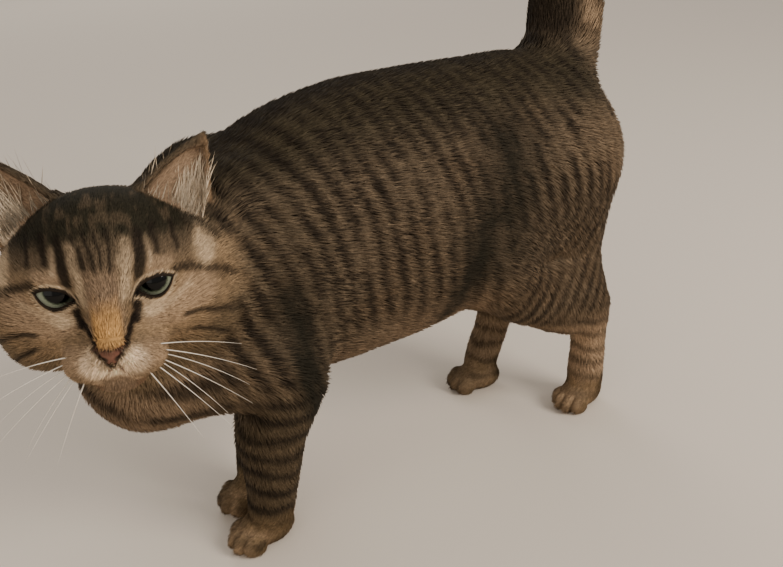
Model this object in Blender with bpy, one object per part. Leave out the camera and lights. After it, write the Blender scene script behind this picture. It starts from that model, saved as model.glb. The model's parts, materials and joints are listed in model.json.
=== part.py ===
"""Domestic cat, standing, life size, as one still model.

The cat faces -X, its left side is -Y and +Z is up.  It stands on the soles of four paws at z = 0, with its
head turned to its left and its tail up.  The whole animal is one smooth field built from named forms.  Every
node is meshed from that field at its own fineness and parted from its neighbours by thin cuts.
All sizes are in millimetres; MM turns them into Blender's metres.
"""

import itertools
import math

import bmesh
import bpy
import numpy as np
from mathutils import Matrix, Vector

MM = 0.001
GAP = 0.3

# The middle of the model's box, in the frame that the forms are given in
BOX_MIDDLE = (-12.6, -14.2)

# Trunk outline from chest to rump: x, height of back, of belly and of the widest line, half width
TRUNK = (
    (-166, 150, 144, 147, 2),
    (-160, 178, 119, 150, 24),
    (-147, 197, 108, 151, 36),
    (-128, 214, 100, 153, 45),
    (-108, 229, 96, 157, 51),
    (-70, 249, 96, 161, 55),
    (-25, 260, 96, 165, 59),
    (30, 262, 98, 169, 61),
    (75, 261, 106, 176, 58),
    (115, 260, 122, 184, 52),
    (146, 253, 140, 192, 45),
    (165, 236, 152, 194, 34),
    (178, 212, 166, 190, 20),
    (184, 192, 184, 188, 2),
)
TRUNK_SQUARENESS = 2.25

# Neck and throat: start, end, radius at each; then the softness of the join to the trunk
NECK = ((-112, 0, 184), (-148, -14, 187), 45, 38)
THROAT = ((-153, -24, 147), (35, 31, 42))
NECK_SOFTNESS = 22

# Shoulder blades, as left-side ellipsoids: centre, radii
SHOULDER = ((-94, 32, 182), (34, 23, 52))
SHOULDER_SOFTNESS = 18

# Legs from the top joint down: x, y outwards from the middle, z, radius, sideways share of the radius
LEGS = {
    "foreleg_left": ((-133, 31, 143, 30, 0.80), (-91, 43, 118, 27, 0.82), (-98, 38, 84, 21.5, 0.85),
                     (-101, 33, 45, 16, 0.92), (-104, 29, 16, 13, 1.0)),
    "foreleg_right": ((-122, 30, 148, 27, 0.80), (-72, 42, 118, 25, 0.82), (-71, 34, 84, 19, 0.85),
                      (-88, 16, 45, 14.5, 0.92), (-95, 10, 16, 12.5, 1.0)),
    "hindleg_left": ((132, 22, 194, 46, 0.75), (70, 41, 134, 29, 0.72), (108, 43, 100, 22, 0.75),
                     (149, 42, 75, 14.5, 0.85), (151, 44, 20, 12.5, 1.0)),
    "hindleg_right": ((126, 22, 194, 46, 0.75), (58, 40, 130, 29, 0.72), (88, 35, 98, 22, 0.75),
                      (124, 28, 72, 14.5, 0.85), (107, 25, 20, 12.5, 1.0)),
}
HAMSTRINGS = {
    "hindleg_left": ((132, 25, 178), (140, 42, 92), 38, 16),
    "hindleg_right": ((130, 24, 178), (118, 28, 90), 38, 17),
}
LEG_SOFTNESS = 12

# Paws: x, y outwards, turn outwards in degrees, size against a fore paw
PAWS = {
    "foreleg_left": (-107, 27, 4, 0.87),
    "foreleg_right": (-98, 8, 4, 0.9),
    "hindleg_left": (147, 44, 6, 0.86),
    "hindleg_right": (101, 22, 20, 0.88),
}
PAW_BODY = ((0, 0, 11), (20, 14.5, 12.6))
TOES = ((13.5, -10.5, 7.6), (18.5, -3.8, 8.0), (18.5, 3.8, 8.0), (13.5, 10.5, 7.6))
TOE_RADII = (9.0, 5.2, 8.6)
TOE_SOFTNESS = 2.5

# Tail, from its root to its tip: x, y, z, radius
TAIL = ((152, 0, 234, 25), (159, 0, 268, 24.5), (164, 1, 310, 23), (168, 3, 360, 21), (167, 5, 410, 18.5),
        (158, 6, 450, 16), (143, 6, 478, 12.5))
TAIL_SOFTNESS = 16

# Rods in each span of a leg or the tail, and how far off they are measured
PATH_STEPS = 5
TUBE_NEAR = 30.0

# Head: middle of the skull, then degrees that it is turned to the cat's left, lifted and tilted
HEAD_CENTRE = (-164.5, -40.3, 196.6)
HEAD_TURN = 72.5
HEAD_LIFT = 6.0
HEAD_TILT = 2.2
HEAD_SOFTNESS = 14

# Head forms in the head's axes, to the cat's left, up and forward: centre, radii, softness of the join
SKULL = ((0, 8.4, -8), (43, 34, 40))
HEAD_FORMS = (
    ((0, 21.4, 8), (26, 20.5, 20), 14),
    ((0, 5.4, 20), (18, 17, 16), 10),
    ((0, -19, 22), (21, 15, 22), 12),
    ((0, -31, 29), (12.5, 8, 12.5), 5),
)
HEAD_PAIRS = (
    ((28, -4, 1), (22.5, 23, 26), 14),
    ((30, -19.5, -8), (22, 20, 22), 12),
    ((20, -6.5, 19), (12, 10, 11), 8),
    ((9.5, -21.5, 35.5), (11.5, 9, 12.5), 5),
)
BRIDGE = ((0, 12.4, 29), (0, -11, 44), 11.5, 7.0)
NOSE = ((0, -15.5, 46.5), (6.5, 5.5, 6.5))

# Eyes
EYE_RADIUS = 10.4
EYE_CENTRE = (20.2, 6.4, 20.6)
LID_THICKNESS = 1.9
LID_HALF_WIDTH = 9.4
LID_UPPER = 4.4
LID_LOWER = 5.4
LID_SLANT = 17.0
LID_SHIFT = 0.8

# Ears in the head's axes
EAR_TIP = (49.2, 61.6, -14.9)
EAR_LENGTH = 47.8
EAR_AXIS = (0.519, 0.835, -0.186)
EAR_FACING = (0.315, 0.021, 0.949)
EAR_HALF_WIDTH = 18.5
EAR_DEPTH = 13.5
EAR_WALL = 2.6
EAR_RIM = 2.5
EAR_CUP_FLOOR = 10.0
EAR_CUP_TOP = 41.0
EAR_ROOM = 1.0

# Bare nose in the head's axes: half width and height of its top and bottom edges, and its back face
NOSE_PAD_TOP = (6.2, -11.5)
NOSE_PAD_BOTTOM = (2.2, -19.0)
NOSE_PAD_BACK = 44.0
NOSTRIL = ((3.2, -16.4, 52.0), (1.5, 1.2, 2.6))

# Line of the mouth and of the split upper lip in the head's axes, for one side
GROOVE_RADIUS = 0.8
MOUTH_LINES = (
    ((0, -20, 52), (0, -22, 51), (0, -25, 50), (3, -27.5, 49), (7, -29.5, 46), (12, -30, 41), (16, -29, 34),
     (19, -27.5, 27)),
)

# Where the nodes are parted: planes as a point and a normal, blocks as a centre and radii
NECK_CUT = ((-108, 0, 230), (-0.832, 0.26, 0.49))
TAIL_CUT = ((158, 0, 267), (0, 0, 1))
HEAD_BLOCK = ((0, 7, 2), (62, 49, 60))
HEAD_REACH = (64, 66, 62)
EAR_CUT = ((32.5, 36.1, -6.6), (0.552, 0.818, -0.165))
LEG_BLOCKS = {
    "foreleg_left": ((-96, 58, 96), (62, 54, 46)),
    "foreleg_right": ((-84, 58, 96), (66, 54, 46)),
    "hindleg_left": ((118, 62, 106), (86, 58, 66)),
    "hindleg_right": ((98, 62, 106), (90, 58, 66)),
}
LEG_SPLIT = 93.0
PAW_SPLIT = 27.0

# Where the left and the right limb of a pair are kept apart: y of the plane between them
PAIR_SPLIT = {"foreleg": -9.5, "hindleg": -2.0}

TRIANGLES = {"torso": 2000, "neck": 600, "tail": 380, "leg": 480, "paw": 380, "ear": 420,
             "ear_room": 400, "head": 3800}

COLOURS = {
    "coat": ((0.165, 0.125, 0.085), 0.85),
    "ear": ((0.30, 0.20, 0.16), 0.80),
    "eye": ((0.10, 0.13, 0.07), 0.15),
    "nose": ((0.35, 0.12, 0.09), 0.55),
}

SIDES = {"left": -1.0, "right": 1.0}


def smooth_join(a, b, softness):
    """Distance to two forms joined with a fillet."""
    share = np.clip(0.5 + 0.5 * (b - a) / softness, 0, 1)
    return b + (a - b) * share - softness * share * (1 - share)


def ellipsoid(points, centre, radii):
    offset = points - np.array(centre, float)
    radii = np.array(radii, float)
    near = np.linalg.norm(offset / radii, axis=1)
    steep = np.linalg.norm(offset / radii ** 2, axis=1)
    return near * (near - 1) / np.maximum(steep, 1e-9)


def rod(points, start, end, start_radius, end_radius, start_flat=1.0, end_flat=1.0):
    """Round-ended taper from start to end, flattened sideways."""
    start = np.array(start, float)
    along = np.array(end, float) - start
    share = np.clip((points - start) @ along / (along @ along), 0, 1)
    offset = points - start - share[:, None] * along
    flat = start_flat + share * (end_flat - start_flat)
    offset[:, 1] = offset[:, 1] / flat
    radius = start_radius + share * (end_radius - start_radius)
    return (np.linalg.norm(offset, axis=1) - radius) * flat


def smooth_curve(x, xs, ys):
    """Cubic through the stations, with flat ends."""
    xs = np.array(xs, float)
    ys = np.array(ys, float)
    slope = np.gradient(ys, xs)
    x = np.clip(x, xs[0], xs[-1])
    i = np.clip(np.searchsorted(xs, x) - 1, 0, len(xs) - 2)
    width = xs[i + 1] - xs[i]
    t = (x - xs[i]) / width
    return (
        (2 * t ** 3 - 3 * t ** 2 + 1) * ys[i]
        + (t ** 3 - 2 * t ** 2 + t) * width * slope[i]
        + (3 * t ** 2 - 2 * t ** 3) * ys[i + 1]
        + (t ** 3 - t ** 2) * width * slope[i + 1]
    )


def trunk(points):
    stations = np.array(TRUNK, float)
    back, belly, widest, half = (smooth_curve(points[:, 0], stations[:, 0], stations[:, i]) for i in range(1, 5))
    height = points[:, 2] - widest
    reach = np.where(height > 0, back - widest, widest - belly)
    across = np.abs(points[:, 1]) / half
    up = np.abs(height) / reach
    n = TRUNK_SQUARENESS
    level = ((across ** n + up ** n) ** (1 / n) - 1) * np.minimum(half, reach)
    beyond = np.maximum(stations[0, 0] - points[:, 0], points[:, 0] - stations[-1, 0])
    return np.hypot(np.maximum(level, 0), np.maximum(beyond, 0)) + np.minimum(level, 0)


def steepness(field, points, reach=0.5):
    """Gradient of a field by central differences."""
    slope = np.empty_like(points)
    for axis in range(3):
        step = np.zeros(3)
        step[axis] = reach
        slope[:, axis] = (field(points + step) - field(points - step)) / (2 * reach)
    return slope


def smooth_path(rows):
    """Rows along a smooth curve through the given rows, each of a place and its sizes."""
    rows = np.array(rows, float)
    spans = np.linalg.norm(np.diff(rows[:, :3], axis=0), axis=1)
    at = np.concatenate([[0], np.cumsum(spans)])
    count = 1 + PATH_STEPS * len(spans)
    fine = np.linspace(0, at[-1], count)
    return np.stack([smooth_curve(fine, at, column) for column in rows.T], 1)


def tube(points, rows):
    """Round-ended tube through rows of x, y, z, radius and sideways share of the radius."""
    path = smooth_path(rows)
    reach = path[:, 3].max()
    low = path[:, :3].min(0) - reach
    high = path[:, :3].max(0) + reach
    level = np.linalg.norm(np.maximum(np.maximum(low - points, points - high), 0), axis=1)
    near = level < TUBE_NEAR
    close = points[near]
    found = np.full(len(close), np.inf)
    for a, b in itertools.pairwise(path):
        found = np.minimum(found, rod(close, a[:3], b[:3], a[3], b[3], a[4], b[4]))
    level[near] = found
    return level


def leg(points, joints, side):
    return tube(points, [(x, side * y, z, radius, flat) for x, y, z, radius, flat in joints])


def hamstring(points, name, side):
    start, end, start_radius, end_radius = HAMSTRINGS[name]
    ends = [(x, side * y, z) for x, y, z in (start, end)]
    return rod(points, *ends, start_radius, end_radius, 0.75, 0.8)


def paw(points, name, side):
    x, y, turn, size = PAWS[name]
    angle = math.radians(-side * turn)
    offset = points - np.array((x, side * y, 0.0))
    forward = -(offset[:, 0] * math.cos(angle) + offset[:, 1] * math.sin(angle))
    sideways = offset[:, 1] * math.cos(angle) - offset[:, 0] * math.sin(angle)
    local = np.stack([forward, sideways, offset[:, 2]], 1) / size
    level = ellipsoid(local, *PAW_BODY)
    for toe in TOES:
        level = smooth_join(level, ellipsoid(local, toe, TOE_RADII), TOE_SOFTNESS)
    return level * size


def tail(points):
    return tube(points, [(*row, 1.0) for row in TAIL])


def head_axes():
    """Rows: the head's left, up and forward directions."""
    turn = Matrix.Rotation(math.radians(HEAD_TURN), 3, "Z")
    lift = Matrix.Rotation(math.radians(HEAD_LIFT), 3, "Y")
    tilt = Matrix.Rotation(math.radians(HEAD_TILT), 3, "X")
    facing = turn @ lift @ tilt
    return np.array([facing @ Vector(v) for v in ((0, -1, 0), (0, 0, 1), (-1, 0, 0))])


def to_head(points):
    return (points - np.array(HEAD_CENTRE, float)) @ head_axes().T


def from_head(points):
    return np.array(points, float) @ head_axes() + np.array(HEAD_CENTRE, float)


def ear_axes():
    axis = Vector(EAR_AXIS).normalized()
    sideways = axis.cross(Vector(EAR_FACING)).normalized()
    facing = sideways.cross(axis)
    return np.array([sideways, axis, facing])


def ear_shell(local):
    """Outer form of the left ear and the hollow of its cup, both as fields."""
    axes = ear_axes()
    root = np.array(EAR_TIP) - EAR_LENGTH * axes[1]
    sideways, height, front = ((local - root) @ axes.T).T
    share = np.clip(height / EAR_LENGTH, 0, 1)
    width = EAR_HALF_WIDTH * (1 - share ** 1.6) ** 0.9 + 1.0
    depth = EAR_DEPTH * (1 - share ** 1.4) + 1.5
    thin = np.minimum(width, depth)
    outer = (np.hypot(sideways / width, front / depth) - 1) * thin
    outer = np.maximum.reduce([outer, height - EAR_LENGTH, -8 - height, front - EAR_RIM])
    wide_in = np.maximum(width - EAR_WALL, 0.3)
    deep_in = np.maximum(depth - EAR_WALL, 0.3)
    cup = (np.hypot(sideways / wide_in, front / deep_in) - 1) * np.minimum(wide_in, deep_in)
    cup = np.maximum.reduce([cup, EAR_CUP_FLOOR - height, height - EAR_CUP_TOP])
    return outer, cup


def head_halves(points):
    """Points in the head's axes, as they are and mirrored."""
    local = to_head(points)
    return local, local * (-1, 1, 1)


def head(points):
    local, mirrored = head_halves(points)
    level = ellipsoid(local, *SKULL)
    for centre, radii, softness in HEAD_FORMS:
        level = smooth_join(level, ellipsoid(local, centre, radii), softness)
    for centre, radii, softness in HEAD_PAIRS:
        for half in (local, mirrored):
            level = smooth_join(level, ellipsoid(half, centre, radii), softness)
    level = smooth_join(level, rod(local, *BRIDGE), 6)
    level = smooth_join(level, ellipsoid(local, *NOSE), 3)
    for half in (local, mirrored):
        lid = np.linalg.norm(half - np.array(EYE_CENTRE), axis=1) - EYE_RADIUS - LID_THICKNESS
        level = smooth_join(level, lid, 3)
    return level


def earless(points):
    """The cat without its ears: negative inside, about the distance in mm near the surface."""
    level = trunk(points)
    for side in SIDES.values():
        centre, radii = SHOULDER
        blade = ellipsoid(points, (centre[0], side * centre[1], centre[2]), radii)
        level = smooth_join(level, blade, SHOULDER_SOFTNESS)
    level = smooth_join(level, rod(points, *NECK), NECK_SOFTNESS)
    level = smooth_join(level, ellipsoid(points, *THROAT), NECK_SOFTNESS)
    for name, joints in LEGS.items():
        side = SIDES[name.split("_")[1]]
        limb = smooth_join(leg(points, joints, side), paw(points, name, side), 5)
        if name in HAMSTRINGS:
            limb = smooth_join(limb, hamstring(points, name, side), 28)
        level = smooth_join(level, limb, LEG_SOFTNESS)
    level = smooth_join(level, tail(points), TAIL_SOFTNESS)
    return smooth_join(level, head(points), HEAD_SOFTNESS)


def with_ears(level, points):
    for half in head_halves(points):
        outer, cup = ear_shell(half)
        level = np.maximum(smooth_join(level, outer, 4), -cup)
    return level


def animal(points):
    """The whole cat."""
    return with_ears(earless(points), points)


def bare_head(points):
    """Head and ears without the body."""
    return with_ears(head(points), points)


def ear_room(points):
    """Room that the neck and the torso leave for the ears."""
    return np.minimum(*(ear_shell(half)[0] for half in head_halves(points))) - EAR_ROOM


def without_corners(inside):
    """Fills grid points until no cell's inside touches itself only at a corner or along an edge."""
    added = True
    while added:
        before = inside.sum()
        for axis in range(3):
            level = np.moveaxis(inside, axis, 0)
            a, b, c, d = (level[:, i:level.shape[1] - 1 + i, j:level.shape[2] - 1 + j]
                          for i, j in itertools.product((0, 1), repeat=2))
            touching = (a & d & ~b & ~c) | (b & c & ~a & ~d)
            for square in (a, b, c, d):
                square |= touching
        corners = {
            (i, j, k): inside[i:inside.shape[0] - 1 + i, j:inside.shape[1] - 1 + j, k:inside.shape[2] - 1 + k]
            for i, j, k in itertools.product((0, 1), repeat=3)
        }
        count = sum(corner.astype(int) for corner in corners.values())
        for j, k in itertools.product((0, 1), repeat=2):
            ends = corners[0, j, k].astype(int) + corners[1, 1 - j, 1 - k]
            touching = ((ends == 2) & (count == 2)) | ((ends == 0) & (count == 6))
            for corner in corners.values():
                corner |= touching
        added = inside.sum() > before
    return inside


def net(field, low, high, step):
    """Closed quad mesh of a field's surface: a vertex in each cell that it crosses, a quad over each edge."""
    low = np.array(low, float)
    counts = np.ceil((np.array(high, float) - low) / step).astype(int) + 1
    grid = np.stack(np.meshgrid(*(np.arange(n) for n in counts), indexing="ij"), -1)
    inside = (field(low + grid.reshape(-1, 3) * step) < 0).reshape(counts)
    inside[[0, -1]] = False
    inside[:, [0, -1]] = False
    inside[:, :, [0, -1]] = False
    inside = without_corners(inside)
    corners = sum(
        inside[i:i + counts[0] - 1, j:j + counts[1] - 1, k:k + counts[2] - 1].astype(int)
        for i, j, k in itertools.product((0, 1), repeat=3)
    )
    crossed = (corners > 0) & (corners < 8)
    index = np.full(crossed.shape, -1)
    index[crossed] = np.arange(crossed.sum())
    points = low + (np.argwhere(crossed) + 0.5) * step
    quads = []
    for axis in range(3):
        first = np.moveaxis(inside, axis, 0)[:-1]
        second = np.moveaxis(inside, axis, 0)[1:]
        cells = np.moveaxis(index, axis, 0)
        for flip in (False, True):
            edge = np.argwhere((second & ~first) if flip else (first & ~second))
            i, j, k = edge.T
            ring = [cells[i, j - 1, k - 1], cells[i, j, k - 1], cells[i, j, k], cells[i, j - 1, k]]
            if flip != (axis == 1):
                ring.reverse()
            quads.append(np.stack(ring, 1))
    return points, np.concatenate(quads)


def settle(field, points, limit, rounds=5):
    """Moves points on to the field's surface."""
    for _ in range(rounds):
        level = field(points)
        slope = steepness(field, points)
        size = np.maximum((slope ** 2).sum(1), 0.05)
        move = -slope * (level / size)[:, None]
        length = np.linalg.norm(move, axis=1)
        move *= np.minimum(1, limit / np.maximum(length, 1e-9))[:, None]
        points = points + move
    return points


def relaxed(field, points, quads, limit, rounds=3):
    """Evens the mesh out over the surface."""
    ends = np.concatenate([np.stack([quads[:, i], quads[:, (i + 1) % 4]], 1) for i in range(4)])
    for _ in range(rounds):
        total = np.zeros_like(points)
        count = np.zeros(len(points))
        np.add.at(total, ends[:, 0], points[ends[:, 1]])
        np.add.at(count, ends[:, 0], 1)
        points = settle(field, 0.5 * points + 0.5 * total / count[:, None], limit, 2)
    return points


def surface(name, low, high, step, triangles, form=animal):
    """Mesh object of a form within a box, brought down to about that many triangles."""
    low = np.array(low, float)
    high = np.array(high, float)

    def boxed(points):
        beyond = np.maximum(low - points, points - high).max(1)
        return np.maximum(form(points), beyond)

    points, quads = net(boxed, low - 1.5 * step, high + 1.5 * step, step)
    points = settle(boxed, points, step)
    points = relaxed(boxed, points, quads, step)
    mesh = bpy.data.meshes.new(name)
    mesh.from_pydata((place(points) * MM).tolist(), [], quads.tolist())
    piece = add_object(name, mesh)
    fewer = piece.modifiers.new("Fewer", "DECIMATE")
    fewer.ratio = min(1.0, triangles / (2 * len(quads)))
    fewer.use_collapse_triangulate = True
    apply_modifiers(piece)
    return piece


def place(points):
    """Moves points from the forms' frame to the model's, whose origin is below the middle of its box."""
    return np.array(points, float) - (*BOX_MIDDLE, 0.0)


def add_object(name, mesh):
    piece = bpy.data.objects.new(name, mesh)
    bpy.context.scene.collection.objects.link(piece)
    return piece


def apply_modifiers(piece):
    graph = bpy.context.evaluated_depsgraph_get()
    mesh = bpy.data.meshes.new_from_object(piece.evaluated_get(graph))
    piece.modifiers.clear()
    piece.data = mesh


def combine(piece, tool, operation):
    """Boolean of a piece with a tool, which is then removed."""
    join = piece.modifiers.new(operation.title(), "BOOLEAN")
    join.operation = operation
    join.object = tool
    apply_modifiers(piece)
    bpy.data.objects.remove(tool)
    largest_only(piece)


def largest_only(piece):
    """Keeps the largest closed surface of a mesh."""
    shape = bmesh.new()
    shape.from_mesh(piece.data)
    left = set(shape.faces)
    groups = []
    while left:
        group = {left.pop()}
        front = list(group)
        while front:
            face = front.pop()
            for edge in face.edges:
                for other in edge.link_faces:
                    if other in left:
                        left.remove(other)
                        group.add(other)
                        front.append(other)
        groups.append(group)
    groups.sort(key=lambda group: sum(face.calc_area() for face in group))
    scraps = [face for group in groups[:-1] for face in group]
    bmesh.ops.delete(shape, geom=scraps, context="FACES")
    shape.to_mesh(piece.data)
    shape.free()


def cut_flat(piece, point, normal):
    """Cuts a piece by a plane and drops what lies on the side that the normal points to."""
    shape = bmesh.new()
    shape.from_mesh(piece.data)
    everything = shape.verts[:] + shape.edges[:] + shape.faces[:]
    cut = bmesh.ops.bisect_plane(
        shape, geom=everything, dist=1e-7, plane_co=Vector(place(point)) * MM, plane_no=Vector(normal),
        clear_outer=True,
    )
    rim = [item for item in cut["geom_cut"] if isinstance(item, bmesh.types.BMEdge)]
    bmesh.ops.holes_fill(shape, edges=rim, sides=0)
    bmesh.ops.triangulate(shape, faces=[face for face in shape.faces if len(face.verts) > 3])
    shape.to_mesh(piece.data)
    shape.free()
    largest_only(piece)


def ball(name, centre, radii, axes=None, segments=32):
    """Ellipsoid mesh, its radii along the world's axes or the given ones."""
    shape = bmesh.new()
    bmesh.ops.create_uvsphere(shape, u_segments=segments, v_segments=segments // 2, radius=1)
    mesh = bpy.data.meshes.new(name)
    shape.to_mesh(mesh)
    shape.free()
    turn = Matrix(np.array(axes).T.tolist()).to_4x4() if axes is not None else Matrix.Identity(4)
    size = Matrix.Diagonal((*(radius * MM for radius in radii), 1))
    mesh.transform(Matrix.Translation(Vector(place(centre)) * MM) @ turn @ size)
    return add_object(name, mesh)


def block(name, low, high):
    shape = bmesh.new()
    bmesh.ops.create_cube(shape, size=1)
    mesh = bpy.data.meshes.new(name)
    shape.to_mesh(mesh)
    shape.free()
    low = Vector(place(low)) * MM
    high = Vector(place(high)) * MM
    mesh.transform(Matrix.Translation((low + high) / 2) @ Matrix.Diagonal((*(high - low), 1)))
    return add_object(name, mesh)


def grown(radii, margin):
    return [radius + margin for radius in radii]


def head_block(margin):
    return ball("head_block", from_head([HEAD_BLOCK[0]])[0], grown(HEAD_BLOCK[1], margin), head_axes(), 40)


def haunch(name, side, margin):
    centre, radii = LEG_BLOCKS[name]
    return ball(name + "_block", (centre[0], side * centre[1], centre[2]), grown(radii, margin), None, 28)


def ear_box(side):
    tip = from_head([np.array(EAR_TIP) * (-side, 1, 1)])[0]
    root = ear_cut(side)[0]
    return np.minimum(tip, root) - 30, np.maximum(tip, root) + 30


def make_ear_room(piece):
    for side in SIDES.values():
        combine(piece, surface("ear_room", *ear_box(side), 2.0, TRIANGLES["ear_room"], ear_room), "DIFFERENCE")


def torso_node():
    piece = surface("torso", (-200, -75, LEG_SPLIT + 1), (200, 75, 280), 4.0, TRIANGLES["torso"], earless)
    cut_flat(piece, np.array(NECK_CUT[0]) - GAP / 2 * np.array(NECK_CUT[1]), NECK_CUT[1])
    cut_flat(piece, np.array(TAIL_CUT[0]) - GAP / 2 * np.array(TAIL_CUT[1]), TAIL_CUT[1])
    combine(piece, head_block(GAP), "DIFFERENCE")
    make_ear_room(piece)
    for name in LEGS:
        combine(piece, haunch(name, SIDES[name.split("_")[1]], GAP), "DIFFERENCE")
    return piece


def neck_node():
    piece = surface("neck", (-215, -75, 88), (-85, 60, 245), 3.0, TRIANGLES["neck"], earless)
    back = -np.array(NECK_CUT[1])
    cut_flat(piece, np.array(NECK_CUT[0]) - GAP / 2 * back, back)
    combine(piece, head_block(GAP), "DIFFERENCE")
    make_ear_room(piece)
    return piece


def tail_node():
    piece = surface("tail", (110, -35, 258), (215, 45, 505), 3.0, TRIANGLES["tail"])
    down = -np.array(TAIL_CUT[1])
    cut_flat(piece, np.array(TAIL_CUT[0]) - GAP / 2 * down, down)
    return piece


def own_side(name, far_low, far_high):
    """Lowest and highest y of a limb that ends at far_low or far_high and stays on its side of its pair."""
    pair, side = name.split("_")
    if side == "left":
        return far_low, min(far_high, PAIR_SPLIT[pair] - GAP / 2)
    return max(far_low, PAIR_SPLIT[pair] + GAP / 2), far_high


def leg_nodes(name):
    side = SIDES[name.split("_")[1]]
    centre, radii = LEG_BLOCKS[name]
    near, far = own_side(name, -112, 112)
    low = (centre[0] - radii[0], near, PAW_SPLIT - 4)
    high = (centre[0] + radii[0], far, centre[2] + radii[2] + 4)
    piece = surface(name, low, high, 2.5, TRIANGLES["leg"])
    tool = haunch(name, side, 0.0)
    combine(tool, block("lower_leg", (low[0] - 5, near, -20), (high[0] + 5, far, LEG_SPLIT)), "UNION")
    combine(piece, tool, "INTERSECT")
    cut_flat(piece, (0, 0, PAW_SPLIT + GAP / 2), (0, 0, -1))
    x, y, _, size = PAWS[name]
    near, far = own_side(name, side * y - 28, side * y + 28)
    low = (x - 45, near, -4)
    high = (x + 40, far, PAW_SPLIT + 4)
    foot = surface(name.replace("leg", "paw"), low, high, 1.6, TRIANGLES["paw"])
    cut_flat(foot, (0, 0, PAW_SPLIT - GAP / 2), (0, 0, 1))
    cut_flat(foot, (0, 0, 0), (0, 0, -1))
    return piece, foot


def ear_cut(side):
    """Point and outward normal of the plane that parts an ear from the head."""
    mirror = np.array((-side, 1, 1))
    normal = np.array(EAR_CUT[1]) / np.linalg.norm(EAR_CUT[1]) * mirror
    return from_head([np.array(EAR_CUT[0]) * mirror])[0], normal @ head_axes()


def ear_node(name, side):
    piece = surface(name, *ear_box(side), 1.3, TRIANGLES["ear"], bare_head)
    point, normal = ear_cut(side)
    cut_flat(piece, point - GAP / 2 * -normal, -normal)
    return piece


def lid_opening(side):
    """Almond prism through the lids, in front of the eye."""
    upper = [(math.cos(a), math.sin(a)) for a in np.linspace(0, math.pi, 9)]
    lower = [(math.cos(a), math.sin(a)) for a in np.linspace(math.pi, 2 * math.pi, 9)[1:-1]]
    outline = []
    for u, v in upper + lower:
        rise = LID_UPPER if v > 0 else LID_LOWER
        outline.append((LID_HALF_WIDTH * u, rise * v * (1 - 0.25 * u * u)))
    slant = math.radians(LID_SLANT)
    ring = []
    for depth in (0.0, 25.0):
        for u, v in outline:
            x = EYE_CENTRE[0] + LID_SHIFT + u * math.cos(slant) - v * math.sin(slant)
            y = EYE_CENTRE[1] + u * math.sin(slant) + v * math.cos(slant)
            ring.append((-side * x, y, EYE_CENTRE[2] + 2.0 + depth))
    count = len(outline)
    faces = [tuple(range(count)), tuple(range(2 * count - 1, count - 1, -1))]
    faces += [(i, count + i, count + (i + 1) % count, (i + 1) % count) for i in range(count)]
    mesh = bpy.data.meshes.new("lid_opening")
    mesh.from_pydata((place(from_head(ring)) * MM).tolist(), [], faces)
    outward(mesh)
    return add_object("lid_opening", mesh)


def outward(mesh):
    shape = bmesh.new()
    shape.from_mesh(mesh)
    bmesh.ops.recalc_face_normals(shape, faces=shape.faces)
    shape.to_mesh(mesh)
    shape.free()


def nose_block(margin):
    """Tapered prism that holds the bare nose."""
    top, bottom = NOSE_PAD_TOP, NOSE_PAD_BOTTOM
    outline = [(-top[0] - margin, top[1] + margin), (-bottom[0] - margin, bottom[1] - margin),
               (bottom[0] + margin, bottom[1] - margin), (top[0] + margin, top[1] + margin)]
    ring = [(x, y, z) for z in (NOSE_PAD_BACK - margin, NOSE_PAD_BACK + 20) for x, y in outline]
    faces = [(0, 1, 2, 3), (7, 6, 5, 4)] + [(i, 4 + i, 4 + (i + 1) % 4, (i + 1) % 4) for i in range(4)]
    mesh = bpy.data.meshes.new("nose_block")
    mesh.from_pydata((place(from_head(ring)) * MM).tolist(), [], faces)
    outward(mesh)
    return add_object("nose_block", mesh)


def groove(route):
    """Thin cord along the skin, which cuts a line where it lies half sunk."""
    points = settle(animal, from_head(route), 3.0, 6)
    path = bpy.data.curves.new("groove", "CURVE")
    path.dimensions = "3D"
    path.bevel_depth = GROOVE_RADIUS * MM
    path.bevel_resolution = 1
    path.use_fill_caps = True
    spline = path.splines.new("POLY")
    spline.points.add(len(points) - 1)
    for knot, point in zip(spline.points, place(points) * MM):
        knot.co = (*point, 1)
    cord = add_object("groove_route", path)
    graph = bpy.context.evaluated_depsgraph_get()
    mesh = bpy.data.meshes.new_from_object(cord.evaluated_get(graph))
    bpy.data.objects.remove(cord)
    shape = bmesh.new()
    shape.from_mesh(mesh)
    bmesh.ops.remove_doubles(shape, verts=shape.verts, dist=1e-6)
    shape.to_mesh(mesh)
    shape.free()
    outward(mesh)
    return add_object("groove", mesh)


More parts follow.
